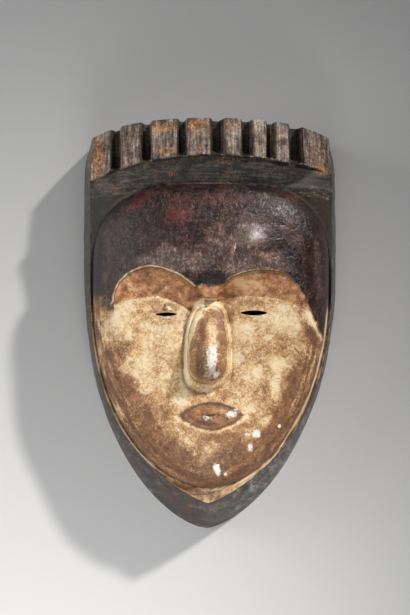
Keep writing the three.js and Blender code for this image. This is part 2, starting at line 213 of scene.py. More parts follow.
@dataclass(frozen=True)
class Outline:
    """A closed outline in plan, squarer or more pointed at its upper and lower ends.

    Args:
        half_width: Half its width at waist_y.
        waist_y: Height at which it is widest.
        rise: Reach above the waist.
        up: Power and ease of its upper end.
        fall: Reach below the waist.
        down: Power and ease of its lower end.
        mid_x: Its middle across.
    """

    half_width: float
    waist_y: float
    rise: float
    up: Pair
    fall: float
    down: Pair
    mid_x: float = 0.0

    def middle(self, y: Array) -> Array:
        """Its middle across at a height."""
        return self.mid_x + LEAN * np.minimum(0.0, y - LEAN_BELOW_Y)

    def _end(self, y: Array) -> tuple[Array, Array, Array]:
        """Reach, power and ease of the end on which a height lies."""
        above = y > self.waist_y
        reach = np.where(above, self.rise, self.fall)
        return reach, np.where(above, self.up[0], self.down[0]), np.where(above, self.up[1], self.down[1])

    def level(self, x: Array, y: Array) -> Array:
        """Under 1 inside, 1 on the outline, over 1 outside."""
        reach, power, ease = self._end(y)
        sideways = np.abs(x - self.middle(y)) / self.half_width
        return sideways ** (1.0 / ease) + (np.abs(y - self.waist_y) / reach) ** power

    def half_at(self, y: Array) -> Array:
        """Half the width at a height."""
        reach, power, ease = self._end(y)
        return self.half_width * clamp(1.0 - (np.abs(y - self.waist_y) / reach) ** power) ** ease

    def crown_y(self, x: Array) -> Array:
        """The upper line of the outline."""
        inner = clamp(1.0 - (np.abs(x) / self.half_width) ** (1.0 / self.up[1]))
        return self.waist_y + self.rise * inner ** (1.0 / self.up[0])

    def reach_at(self, angle: Array, centre: Pair = MIDDLE) -> Array:
        """Distance from a centre to the outline along an angle, by halving.

        Args:
            angle: Angles about the centre, in radians.
            centre: The centre in plan.

        Returns:
            The distances in mm.
        """
        inside = np.zeros_like(angle)
        outside = np.full_like(angle, FAR_OUT)
        for _ in range(HALVINGS):
            middle = (inside + outside) / 2.0
            within = self.level(centre[0] + middle * np.cos(angle), centre[1] + middle * np.sin(angle)) < 1.0
            inside = np.where(within, middle, inside)
            outside = np.where(within, outside, middle)
        return inside

    def share_at(self, x: Array, y: Array, centre: Pair = MIDDLE) -> Array:
        """Share of the way from a centre to the outline at which a place lies."""
        away = np.hypot(x - centre[0], y - centre[1])
        return away / self.reach_at(np.arctan2(y - centre[1], x - centre[0]), centre)


@dataclass(frozen=True)
class Rise:
    """A gradual lift of a line towards the crest or, over a negative distance, towards the chin."""

    lift: float
    from_y: float
    over: float
    power: float

    def at(self, y: Array) -> Array:
        """The lift at a height."""
        return self.lift * clamp((y - self.from_y) / self.over) ** self.power


@dataclass(frozen=True)
class Brow:
    """One brow arch, and the crease below it where the socket meets the cheek."""

    peak: Pair
    inner: Pair
    outer: Pair
    inner_powers: Pair
    outer_powers: Pair
    crease_peak: Pair
    crease_inner_bend: float
    crease_outer_bend: float
    temple: tuple[Pair, ...]

    def _inward(self, x: Array, peak_x: float) -> Array:
        """True on the nose's side of a peak."""
        return (x > peak_x) if self.outer[0] < 0 else (x < peak_x)

    def line(self, x: Array) -> Array:
        """Height in plan of the brow's edge.

        Args:
            x: Places across.

        Returns:
            Places along, in mm.
        """
        inward = self._inward(x, self.peak[0])
        end_x = np.where(inward, self.inner[0], self.outer[0])
        end_y = np.where(inward, self.inner[1], self.outer[1])
        power = np.where(inward, self.inner_powers[0], self.outer_powers[0])
        root = np.where(inward, self.inner_powers[1], self.outer_powers[1])
        share = clamp((x - self.peak[0]) / (end_x - self.peak[0]))
        return end_y + (self.peak[1] - end_y) * (1.0 - share ** power) ** (1.0 / root)

    def crease(self, x: Array) -> Array:
        """Height in plan of the crease."""
        inward = self._inward(x, self.crease_peak[0])
        bend = np.where(inward, self.crease_inner_bend, self.crease_outer_bend)
        return self.crease_peak[1] - bend * (x - self.crease_peak[0]) ** 2

    def temple_line(self, x: Array) -> Array:
        """Height in plan of the edge's slope over the temple to the frame."""
        return np.interp(x, [point[0] for point in self.temple], [point[1] for point in self.temple])

    def spans(self, x: Array) -> Array:
        """True between the brow's two ends."""
        return (x > min(self.inner[0], self.outer[0])) & (x < max(self.inner[0], self.outer[0]))


def distance_to(x: Array, y: Array, line: Array) -> Array:
    """Distance of places in plan from an open line of points.

    Args:
        x: Places across.
        y: Places along.
        line: The line's points, one row each.

    Returns:
        The shortest distance for each place.
    """
    nearest = np.full(x.shape, 1e9)
    for start, end in zip(line[:-1], line[1:]):
        run = end - start
        share = clamp(((x - start[0]) * run[0] + (y - start[1]) * run[1]) / max(1e-9, float(run @ run)))
        away = np.hypot(x - start[0] - share * run[0], y - start[1] - share * run[1])
        nearest = np.minimum(nearest, away)
    return nearest


@dataclass
class Face:
    """The domed forehead, the brows and sockets, the cheeks, and the narrow frame round them."""

    outline: Outline = Outline(98.0, 42.0, 71.6, (2.9, 0.345), 176.0, (2.45, 0.58))
    edge: Outline = Outline(100.4, 73.0, 84.0, (10.0, 0.1), 219.0, (3.35, 0.81))
    edge_z: float = 52.0
    edge_rises: tuple[Rise, ...] = (Rise(10.0, -38.0, -108.0, 1.6), Rise(5.0, 42.0, 80.0, 1.5))
    border_z: float = 51.0
    border_rises: tuple[Rise, ...] = (Rise(29.0, 27.0, 85.0, 2.2), Rise(10.0, -48.0, -86.0, 1.5))
    frame_dip: float = 3.0
    bulge: float = 52.0
    bulge_profile: Pair = (2.8, 0.55)
    chin_bulge_loss: float = 16.0
    chin_bulge_fade: Pair = (22.0, -156.0)
    cheek_drop: float = 13.0
    cheek_drop_fade: Pair = (-8.0, -100.0)
    least_drop: float = 0.25
    temple_fade: Pair = (45.0, 45.0)
    brow_step: float = 1.6
    crease_dip: float = 1.4
    socket_hollow: float = 0.9
    cusp_dip: float = 6.0
    cusp_width: float = 19.0
    cusp_fades: tuple[Pair, Pair] = ((42.0, -26.0), (-40.0, 40.0))
    brow_softness: float = 1.3
    brows: tuple[Brow, Brow] = (
        Brow((-51.0, 42.4), (-5.5, 18.0), (-79.0, 16.5), (2.0, 1.0), (2.0, 2.0), (-48.0, 20.0), 0.0122, 0.0066,
             ((-120.0, -40.0), (-96.0, -8.0), (-91.0, 0.0), (-86.0, 8.5), (-79.0, 16.5))),
        Brow((41.5, 39.9), (4.0, 18.0), (79.5, 12.0), (2.0, 2.0), (3.0, 1.0), (36.0, 20.0), 0.0025, 0.0068,
             ((79.5, 12.0), (84.0, 3.3), (89.0, -4.3), (95.0, -12.0), (120.0, -40.0))),
    )
    boss: tuple[float, float, float, float] = (28.0, 61.0, 4.8, 10.0)
    least_frame: float = 2.0
    frame_rounding: Pair = (0.22, 6.0)
    frame_softness: float = 1.6
    ridge_height: float = 0.9
    ridge_at: float = 1.6
    ridge_width: float = 1.1
    ridge_fade: Pair = (20.0, 40.0)

    def border(self, y: Array) -> Array:
        """Height of the line where dome and frame meet."""
        return self.border_z + sum(rise.at(y) for rise in self.border_rises)

    def edge_height(self, y: Array) -> Array:
        """Height of the frame's outer edge."""
        return self.edge_z + sum(rise.at(y) for rise in self.edge_rises)

    def temples(self, x: Array) -> Array:
        """1 between the temples, fading to 0 at them."""
        return 1.0 - fade(np.abs(x), self.temple_fade)

    def brow_line(self, x: Array) -> Array:
        """The lower edge of the forehead in plan, over both brows and out over the temples.

        Args:
            x: Places across.

        Returns:
            Places along, in mm.
        """
        left, right = self.brows
        line = np.full(x.shape, left.inner[1])
        for brow in self.brows:
            line = np.where(brow.spans(x), brow.line(x), line)
        line = np.where(x <= left.outer[0], left.temple_line(x), line)
        return np.where(x >= right.outer[0], right.temple_line(x), line)

    def crease_line(self, x: Array) -> Array:
        """The upper edge of the cheeks in plan.

        Args:
            x: Places across.

        Returns:
            Places along, in mm.
        """
        line = self.brow_line(x)
        for brow in self.brows:
            line = np.where(brow.spans(x), np.minimum(brow.line(x), brow.crease(x)), line)
        return line

    def _above(self, x: Array, y: Array, line_at: Callable[[Array], Array]) -> Array:
        """Distance from a line across the face, positive above it."""
        across = np.linspace(-LINE_REACH, LINE_REACH, LINE_POINTS)
        line = np.column_stack([across, line_at(across)])
        return np.where(y > line_at(x), 1.0, -1.0) * distance_to(x, y, line)

    def brow_distance(self, x: Array, y: Array) -> Array:
        """Distance from the forehead's lower edge, positive on the forehead."""
        return self._above(x, y, self.brow_line)

    def crease_distance(self, x: Array, y: Array) -> Array:
        """Distance from the cheeks' upper edge, positive above it."""
        return self._above(x, y, self.crease_line)

    def swell(self, x: Array, y: Array) -> Array:
        """The low boss on the right of the forehead."""
        across, along, height, spread = self.boss
        return height * np.exp(-((x - across) ** 2 + (y - along) ** 2) / (2.0 * spread ** 2))

    def dome_height(self, x: Array, y: Array) -> Array:
        """The forehead's surface, carried on under the brows to the chin.

        Args:
            x: Places across.
            y: Places along.

        Returns:
            The heights in mm.
        """
        bulge = self.bulge - self.chin_bulge_loss * fade(y, self.chin_bulge_fade)
        dip = self.cusp_dip * peak(x, 0.0, self.cusp_width)
        for span in self.cusp_fades:
            dip = dip * fade(y, span)
        return self.border(y) + bulge * dome(self.outline.share_at(x, y), self.bulge_profile) - dip

    def cheek_height(self, x: Array, y: Array, dome_z: Array) -> Array:
        """The cheeks' surface, below the forehead's."""
        drop = self.cheek_drop * self.temples(x) * (1.0 - fade(y, self.cheek_drop_fade))
        return dome_z - np.maximum(self.least_drop, drop)

    def socket_height(self, x: Array, y: Array) -> Array:
        """The slope of a socket from under the brow down behind the cheek.

        Args:
            x: Places across.
            y: Places along.

        Returns:
            The heights in mm.
        """
        brow_y = self.brow_line(x)
        crease_y = self.crease_line(x)
        top = self.dome_height(x, brow_y) - self.brow_step * self.temples(x)
        foot = self.cheek_height(x, crease_y, self.dome_height(x, crease_y)) - self.crease_dip * self.temples(x)
        down = clamp((brow_y - y) / np.maximum(0.1, brow_y - crease_y))
        return mix(top, foot, down ** self.socket_hollow)

    def height(self, x: Array, y: Array) -> tuple[Array, Array]:
        """Give the face's surface and, under the nose and mouth, the cheeks' surface.

        Args:
            x: Places across.
            y: Places along.

        Returns:
            The heights of the face, and of the bare cheeks.
        """
        dome_z = self.dome_height(x, y)
        cheek_z = self.cheek_height(x, y, dome_z)
        brow_away = self.brow_distance(x, y)
        crease_away = self.crease_distance(x, y)
        below = mix(cheek_z, self.socket_height(x, y), edge(crease_away, self.brow_softness))
        face = mix(below, dome_z, edge(brow_away, self.brow_softness))
        return self._framed(x, y, face), cheek_z

    def _framed(self, x: Array, y: Array, face: Array) -> Array:
        """Join the frame to the face, with the groove between them.

        Args:
            x: Places across.
            y: Places along.
            face: Heights of the face.

        Returns:
            The heights with the frame, in mm.
        """
        angle = np.arctan2(y - MIDDLE[1], x - MIDDLE[0])
        away = np.hypot(x - MIDDLE[0], y - MIDDLE[1])
        inner = self.outline.reach_at(angle)
        outer = np.maximum(self.edge.reach_at(angle), inner + self.least_frame)
        across = clamp((away - inner) / (outer - inner))
        rounded = across - self.frame_rounding[0] * across ** self.frame_rounding[1]
        frame_z = mix(self.border(y) - self.frame_dip, self.edge_height(y), rounded)
        ridge = self.ridge_height * peak(away - inner, self.ridge_at, self.ridge_width) * fade(y, self.ridge_fade)
        return mix(face + self.swell(x, y), frame_z + ridge, edge(away - inner, self.frame_softness))


@dataclass(frozen=True)
class Notch:
    """One notch in the crest.

    Args:
        mouth_x: Middle of its mouth.
        mouth: Width of its mouth.
        floor_shift: How far its floor lies to the right of its mouth.
        floor_share: Width of its floor over the width of its mouth.
    """

    mouth_x: float
    mouth: float
    floor_shift: float
    floor_share: float = 0.34

    def brinks(self) -> tuple[float, float, float, float]:
        """Places across of its left brink, its floor's left and right sides and its right brink.

        Returns:
            The four places in mm.
        """
        floor_x = self.mouth_x + self.floor_shift
        half_floor = self.mouth * self.floor_share / 2.0
        left, right = self.mouth_x - self.mouth / 2.0, self.mouth_x + self.mouth / 2.0
        return left, floor_x - half_floor, floor_x + half_floor, right

    def depth(self, x: Array) -> Array:
        """Its depth as a share: 0 at its brinks, 1 and more on its floor, and less than 0 beside it."""
        left, floor_left, floor_right, right = self.brinks()
        return np.minimum((x - left) / (floor_left - left), (right - x) / (right - floor_right))


@dataclass
class Crest:
    """A smooth band under a row of eight blocks, curving back at both sides."""

    half_width: float = 99.0
    front_z: float = 98.0
    radius: float = 140.0
    top_y: float = 165.5
    top_sag: float = 8.0
    foot_y: float = 134.0
    foot_sag: float = 10.0
    foot_tilt: float = 3.7
    block_lean: float = 0.12
    band_foot_y: float = 113.0
    band_foot_sag: float = 8.0
    band_step: float = 3.5
    band_recess: float = 10.0
    depth: float = 16.0
    run_out: float = 7.0
    foot_drop: float = 3.0
    proud: float = 6.0
    cut_softness: float = 0.7
    join_softness: float = 1.0
    band_softness: float = 1.6
    block_softness: float = 1.2
    worn_widths: tuple[Pair, Pair] = ((-60.0, 0.0), (3.5, 6.0))
    worn_softness: float = 1.6
    notches: tuple[Notch, ...] = (
        Notch(-79.5, 11.0, 1.4), Notch(-54.0, 11.2, 1.0), Notch(-24.2, 9.2, 0.0), Notch(5.3, 14.0, -1.8),
        Notch(29.5, 12.5, -2.0), Notch(48.8, 9.4, -1.2), Notch(71.0, 15.0, -3.0),
    )

    def out(self, x: Array) -> Array:
        """Share of the way out to a side."""
        return x / self.half_width

    def front(self, x: Array) -> Array:
        """Height of the crest's curved front."""
        return self.front_z - self.radius + np.sqrt(np.maximum(1.0, self.radius ** 2 - x ** 2))

    def top(self, x: Array) -> Array:
        """The crest's upper line in plan."""
        return self.top_y - self.top_sag * self.out(x) ** 4

    def foot(self, x: Array) -> Array:
        """The line of the blocks' feet in plan."""
        return self.foot_y - self.foot_sag * self.out(x) ** 2 + self.foot_tilt * self.out(x) ** 3

    def band_foot(self, x: Array) -> Array:
        """The band's lower line in plan."""
        return self.band_foot_y - self.band_foot_sag * self.out(x) ** 2

    def anchors(self) -> list[float]:
        """Places across at which the notches' walls begin and end."""
        return [place for notch in self.notches for place in notch.brinks()]

    def notch_depth(self, x: Array) -> Array:
        """How deep the notches are across the crest, 0 on the blocks and 1 on a floor."""
        return np.max([clamp(notch.depth(x)) for notch in self.notches], axis=0)

    def worn_walls(self, x: Array) -> Array:
        """1 on the worn walls at the right of the notches, 0 elsewhere.

        Args:
            x: Places across.

        Returns:
            One share for each place.
        """
        worn = np.zeros(x.shape)
        for notch in self.notches:
            right = notch.brinks()[-1]
            width = np.interp(notch.mouth_x, *self.worn_widths)
            worn = np.maximum(worn, fade(x, (right - width, self.worn_softness)) * (x < right + 1.0))
        return worn

    def cut(self, x: Array, y: Array, surface: Array) -> Array:
        """Cut the notches out of a surface.

        Args:
            x: Places across.
            y: Places along.
            surface: The uncut heights.

        Returns:
            The heights with the notches cut.
        """
        slope = (self.depth + self.proud) / (self.run_out + self.foot_drop)
        for notch in self.notches:
            mouth_x = np.full(x.shape, notch.mouth_x)
            front = self.front(mouth_x)
            walls = front - self.depth * np.minimum(1.0, notch.depth(x))
            run_out = front - self.depth + (self.foot(mouth_x) + self.run_out - y) * slope
            surface = soft_min(surface, np.maximum(walls, run_out), self.cut_softness)
        return surface

    def add(self, x: Array, y: Array, surface: Array, ragged: Array) -> Array:
        """Raise the band and the blocks out of a surface and cut the notches.

        Args:
            x: Places across.
            y: Places along.
            surface: The heights before.
            ragged: How far the blocks' feet stray.

        Returns:
            The heights with the crest.
        """
        foot = self.foot(x)
        fall = clamp((foot - y) / (foot - self.band_foot(x)))
        band = self.front(x) - self.band_step - self.band_recess * (1.0 - self.out(x) ** 2) * fall
        banded = soft_max(surface, band, self.join_softness)
        surface = mix(surface, banded, edge(y - self.band_foot(x), self.band_softness))
        block = self.front(x) - self.block_lean * (y - foot)
        return self.cut(x, y, mix(surface, block, edge(y - foot - ragged, self.block_softness)))


@dataclass
class Nose:
    """A long smooth nose that rises out of a low base with a rounded rim."""

    outline: Outline = Outline(18.6, -33.0, 50.0, (2.6, 0.34), 22.5, (3.0, 0.45), -2.5)
    centre: Pair = (-3.2, -20.0)
    root_height: float = 12.0
    tip_gain: float = 13.0
    gain_fade: Pair = (14.0, -52.0)
    base_height: float = 5.5
    base_profile: Pair = (9.0, 0.6)
    core_share: float = 0.84
    core_profile: Pair = (2.3, 0.66)
    core_sink: float = 1.0
    out_of_sight: Pair = (4.0, 9.0)
    groove_depth: float = 1.5
    grooves: tuple[Pair, Pair] = ((1.05, 1.0 / 14.0), (0.01, 1.0 / 26.0))
    clearing: Pair = (1.02, 0.08)
    joins: Pair = (1.0, 0.8)
    spread: float = 1.5

    def share(self, x: Array, y: Array) -> Array:
        """Share of the way out to the nose's outline."""
        return self.outline.share_at(x, y, self.centre)

    def add(self, x: Array, y: Array, surface: Array, cheek_z: Array) -> Array:
        """Raise the nose out of the cheeks.

        Args:
            x: Places across.
            y: Places along.
            surface: Heights before it is added.
            cheek_z: Heights of the cheeks' ground.

        Returns:
            The heights with the nose, in mm.
        """
        share = self.share(x, y)
        height = self.root_height + self.tip_gain * fade(y, self.gain_fade)
        beside = peak(share, *self.grooves[0])
        within = peak(share - self.core_share, *self.grooves[1])
        open_share = smooth((self.clearing[0] - share) / self.clearing[1])
        cleared = mix(surface, np.minimum(surface, cheek_z + self.base_height), open_share)
        base = cheek_z + self.base_height * dome(share, self.base_profile) - self.groove_depth * within
        rise = (height - self.base_height) * dome(share / self.core_share, self.core_profile)
        core = cheek_z + self.base_height - self.core_sink + rise
        core = np.where(share < self.core_share, core, base - self.out_of_sight[0])
        raised = np.where(share < 1.0, soft_max(base, core, self.joins[0]), cheek_z - self.out_of_sight[1])
        nose = soft_max(cleared - self.groove_depth * beside, raised, self.joins[1])
        return np.where(share < self.spread, nose, surface)


@dataclass
class Mouth:
    """A shallow almond hollow with the lips standing in it, parted by a fine groove."""

    outline: Outline = Outline(25.5, -75.5, 10.6, (1.3, 0.6), 11.8, (1.3, 0.6), 1.2)
    lips: Outline = Outline(21.0, -75.8, 6.0, (1.4, 0.6), 9.0, (1.4, 0.6), 1.2)
    parting: Outline = Outline(16.0, -75.6, 0.9, (2.0, 0.5), 0.9, (2.0, 0.5), 1.2)
    depth: float = 2.8
    brim: float = 0.4
    flat_profile: Pair = (4.0, 1.0)
    lip_height: float = 4.0
    lip_profile: Pair = (2.0, 0.6)
    parting_depth: float = 1.5
    softness: float = 0.6

    def _share(self, outline: Outline, x: Array, y: Array) -> Array:
        """Share of the way out to one of the mouth's outlines."""
        return outline.share_at(x, y, (float(outline.middle(np.array(outline.waist_y))), outline.waist_y))

    def share(self, x: Array, y: Array) -> Array:
        """Share of the way out to the mouth's outline."""
        return self._share(self.outline, x, y)

    def carve(self, x: Array, y: Array, surface: Array, cheek_z: Array) -> Array:
        """Cut the mouth and leave the lips.

        Args:
            x: Places across.
            y: Places along.
            surface: Heights before it is cut.
            cheek_z: Heights of the cheeks' ground.

        Returns:
            The heights with the mouth, in mm.
        """
        share, lip_share = self.share(x, y), self._share(self.lips, x, y)
        parting_share = self._share(self.parting, x, y)
        hollow = cheek_z + self.brim - self.depth * dome(share, self.flat_profile)
        cut = np.where(share < 1.0, soft_min(surface, hollow, self.softness), surface)
        lips = cheek_z - self.depth + self.lip_height * dome(lip_share, self.lip_profile)
        full = np.where(lip_share < 1.0, soft_max(cut, lips, self.softness), cut)
        parting = cheek_z + self.brim - self.parting_depth * dome(parting_share, self.flat_profile)
        return np.where(parting_share < 1.0, np.minimum(full, parting), full)


@dataclass(frozen=True)
class EyeSlit:
    """A thin slit that is open right through and wider at the back.

    Args:
        x: Its middle across.
        y: Its middle along.
        length: Its length at the front.
        height: Its height at the front.
        before: Length and height of its cutter before the face, as shares of the slit's.
        behind: The same behind the face.
        ends_z: Heights at which the cutter begins and ends.
        pinch: How far its ends are pinched.
        wobble: How far its edge strays, as a share.
    """

    x: float
    y: float
    length: float
    height: float
    before: Pair = (0.62, 0.12)
    behind: Pair = (1.6, 2.4)
    ends_z: Pair = (112.0, 50.0)
    pinch: float = 0.3
    wobble: Unevenness = Unevenness(0.12, (1.5, 1.5), 2, 5.0)

    def cutter(self, unit: Array, number: int) -> Array:
        """Turn the points of a unit cylinder into its cutter's.

        Args:
            unit: The cylinder's points.
            number: Number of the slit.

        Returns:
            The cutter's points in mm.
        """
        upper = unit[:, 2] > 0
        angle = np.arctan2(unit[:, 1], unit[:, 0])
        stray = 1.0 + self.wobble.at(WOBBLE_TURNS * unit[:, 0], WOBBLE_TURNS * unit[:, 1], number)
        pinched = np.sin(angle) * np.abs(np.sin(angle)) ** self.pinch
        x = self.x + self.length / 2.0 * np.where(upper, self.before[0], self.behind[0]) * np.cos(angle)
        y = self.y + self.height / 2.0 * np.where(upper, self.before[1], self.behind[1]) * stray * pinched
        return np.column_stack([x, y, np.where(upper, *self.ends_z)])


@dataclass
class Hollow:
    """The hollow behind the face."""

    outline: Outline = Outline(99.0, 74.0, 77.0, (4.5, 0.22), 231.0, (2.45, 0.66))
    depth: float = 88.0
    profile: Pair = (2.7, 0.55)
    cheek_loss: float = 12.0
    cheek_fade: Pair = (60.0, -50.0)
    chin_loss: float = 6.0
    chin_fade: Pair = (5.0, -130.0)
    meeting_share: float = 0.985
    inner_edge_share: float = 0.9985
    gouges: Unevenness = Unevenness(0.7, (9.0, 26.0), 2, 70.0)
    gouge_fade: float = 6.0
    grid_squash: float = 1.3

    def height(self, y: Array, share: Array) -> Array:
        """Height of the hollow's roof."""
        loss = self.cheek_loss * fade(y, self.cheek_fade) + self.chin_loss * fade(y, self.chin_fade)
        return (self.depth - loss) * dome(share, self.profile)


# Mesh work by operator

def deselect_all() -> None:
    """Leave nothing selected."""
    bpy.ops.object.select_all(action="DESELECT")


def only(piece: bpy.types.Object) -> None:
    """Make one piece the only selected and active one."""
    deselect_all()
    piece.select_set(True)
    bpy.context.view_layer.objects.active = piece


def places_of(piece: bpy.types.Object) -> Array:
    """Read a mesh's vertices in mm."""
    flat = np.empty(len(piece.data.vertices) * 3)
    piece.data.vertices.foreach_get("co", flat)
    return flat.reshape(-1, 3) / MM


def place(piece: bpy.types.Object, points: Array) -> None:
    """Move a mesh's vertices to points given in mm."""
    piece.data.vertices.foreach_set("co", (points * MM).ravel())
    piece.data.update()


def write(piece: bpy.types.Object, name: str, values: Array) -> None:
    """Keep one number per vertex under a name."""
    layer = piece.data.attributes.get(name) or piece.data.attributes.new(name, "FLOAT", "POINT")
    layer.data.foreach_set("value", np.asarray(values, dtype=np.float32))


def read(piece: bpy.types.Object, name: str) -> Array:
    """Read one number per vertex."""
    values = np.zeros(len(piece.data.vertices), dtype=np.float32)
    piece.data.attributes[name].data.foreach_get("value", values)
    return values.astype(float)


def new_grid(name: str, columns: int, rows: int) -> bpy.types.Object:
    """Add a grid from -1 to 1 m with a number of columns and rows.

    Args:
        name: The piece's name.
        columns: Faces across.
        rows: Faces along.

    Returns:
        The grid, active and selected.
    """
    deselect_all()
    bpy.ops.mesh.primitive_grid_add(x_subdivisions=columns, y_subdivisions=rows, size=2.0, location=(0, 0, 0))
    piece = bpy.context.active_object
    piece.name = name
    piece.data.name = name
    return piece


def apply(piece: bpy.types.Object, kind: str, **settings: object) -> None:
    """Add a modifier with settings and apply it.

    Args:
        piece: The piece.
        kind: The modifier's type.
        settings: Its properties.
    """
    only(piece)
    modifier = piece.modifiers.new(kind.title(), kind)
    for key, value in settings.items():
        setattr(modifier, key, value)
    bpy.ops.object.modifier_apply(modifier=modifier.name)


@dataclass
class CarvedMask:
    """The whole mask: front, walls, rim and hollow in one closed mesh."""

    columns: int = 230
    rows: int = 310
    corner_y: float = -105.0
    chin_pull: float = 2.5
    crest_share: float = 0.82
    rim: Outline = Outline(108.8, 80.0, 87.7, (9.0, 0.11), 248.0, (2.5, 0.64))
    wall_steps: tuple[float, ...] = (
        0.012, 0.03, 0.06, 0.11, 0.18, 0.26, 0.34, 0.42, 0.5, 0.58, 0.66, 0.74, 0.82, 0.89, 0.95, 1.0)
    wall_belly: float = 1.5
    wall_rough: Unevenness = Unevenness(0.7, (26.0, 26.0), 3, 60.0)
    wall_nicks: Unevenness = Unevenness(0.4, (5.0, 5.0), 2, 90.0)
    wall_layers: float = 55.0
    wall_fades: Pair = (8.0, 30.0)
    swell: Unevenness = Unevenness(0.5, (34.0, 34.0), 2, 0.0)
    face_marks: Unevenness = Unevenness(0.16, (7.0, 7.0), 3, 9.0)
    block_marks: Unevenness = Unevenness(0.42, (2.6, 40.0), 2, 21.0)
    band_marks: Unevenness = Unevenness(0.3, (30.0, 2.8), 2, 33.0)
    mark_fades: Pair = (2.0, 3.0)
    hollow_columns: int = 66
    hollow_rows: int = 80
    hollow_crowd: float = 1.7
    face: Face = field(default_factory=Face)
    crest: Crest = field(default_factory=Crest)
    nose: Nose = field(default_factory=Nose)
    mouth: Mouth = field(default_factory=Mouth)
    hollow: Hollow = field(default_factory=Hollow)
    eyes: tuple[EyeSlit, EyeSlit] = (EyeSlit(-36.6, 5.7, 17.0, 3.0), EyeSlit(33.8, 6.9, 21.5, 4.0))
    eye_sides: int = 32

    # The front's layout in plan

    def _corner_top(self) -> float:
        """Height in plan of the crest's corners."""
        return float(self.crest.top(np.array(self.crest.half_width)))

    def _side_half(self, y: Array) -> Array:
        """Half the front's width at a height, out to the crest's corners at the top."""
        return np.where(y > self.crest.foot_y, np.maximum(self.face.edge.half_at(y), self.crest.half_width),
                        self.face.edge.half_at(y))

    def _chin_run(self, share: Array) -> tuple[Array, Array]:
        """Places along the chin's edge from the left corner round the tip to the right one.

        Args:
            share: Share of the way along it.

        Returns:
            The places across and along, in mm.
        """
        edge = self.face.edge
        tip_y = edge.waist_y - edge.fall
        eased = np.linspace(1.0, 0.0, CHIN_POINTS)
        y_left = tip_y + (self.corner_y - tip_y) * eased ** 2
        y = np.concatenate([y_left, y_left[-2::-1]])
        side = np.concatenate([-np.ones(CHIN_POINTS), np.ones(CHIN_POINTS - 1)])
        x = edge.middle(y) + side * edge.half_at(y)
        run = np.concatenate([[0.0], np.cumsum(np.hypot(np.diff(x), np.diff(y)))])
        wanted = share * run[-1]
        return np.interp(wanted, run, x), np.interp(wanted, run, y)

    def _top_run(self, columns: Array) -> Array:
        """Places across at the crest, with a column on each wall of each notch.

        Args:
            columns: Share of the way from left to right.

        Returns:
            The places across, in mm.
        """
        count = self.columns
        even = np.linspace(-self.crest.half_width, self.crest.half_width, count + 1)
        places = sorted(self.crest.anchors())
        slots = [int(round((at + self.crest.half_width) / (2 * self.crest.half_width) * count)) for at in places]
        keys = [0] + slots + [count]
        values = [even[0]] + places + [even[-1]]
        return np.interp(columns * count, keys, values)

    def plan(self, across: Array, along: Array) -> tuple[Array, Array]:
        """Lay the grid over the front.

        Args:
            across: Share of the way from left to right.
            along: Share of the way from chin to crest.

        Returns:
            The places across and along, in mm.
        """
        blend = 1.0 - clamp(1.0 - along / self.crest_share) ** self.chin_pull
        top_x = self._top_run(across)
        top_y = self.crest.top(top_x)
        low_x, low_y = self._chin_run(across)
        corner_top = self._corner_top()
        side_y = mix(self.corner_y, corner_top, along)
        half = self._side_half(side_y)
        middle = self.face.edge.middle(side_y)
        low_half = float(self.face.edge.half_at(np.array(self.corner_y)))
        low_middle = float(self.face.edge.middle(np.array(self.corner_y)))
        x = mix(low_x, top_x, blend) + mix(middle - half, middle + half, across)
        y = mix(low_y, top_y, blend) + side_y
        x -= mix(mix(low_middle - low_half, low_middle + low_half, across),
                 mix(-self.crest.half_width, self.crest.half_width, across), blend)
        y -= mix(self.corner_y, corner_top, blend)
        return x, y

    # The front's surface

    def front_height(self, x: Array, y: Array) -> Array:
        """Height of the carved front.

        Args:
            x: Places across.
            y: Places along.

        Returns:
            The heights in mm.
        """
        surface, cheek_z = self.face.height(x, y)
        surface = self.nose.add(x, y, surface, cheek_z)
        surface = self.mouth.carve(x, y, surface, cheek_z)
        surface = self.crest.add(x, y, surface, RAGGED_FEET.at(x, y))
        return surface + self._tool_marks(x, y)

    def _tool_marks(self, x: Array, y: Array) -> Array:
        """Small unevenness left by carving, in upright streaks on the blocks and level ones on the band.

        Args:
            x: Places across.
            y: Places along.

        Returns:
            What they add to the heights, in mm.
        """
        foot = self.crest.foot(x)
        on_blocks = smooth((y - foot) / self.mark_fades[0])
        on_band = smooth((y - self.crest.band_foot(x)) / self.mark_fades[1]) * (1.0 - on_blocks)
        face = (1.0 - on_blocks) * (1.0 - on_band)
        return (self.swell.at(x, y) + face * self.face_marks.at(x, y) + on_blocks * self.block_marks.at(x, y)
                + on_band * self.band_marks.at(x, y))

    # Building

    def build(self) -> bpy.types.Object:
        """Build the closed mask.

        Returns:
            The finished piece, not yet dressed.
        """
        piece = self._closed(self._front(), self._hollow_grid())
        for number, eye in enumerate(self.eyes):
            self._open_eye(piece, eye, number)
        return piece

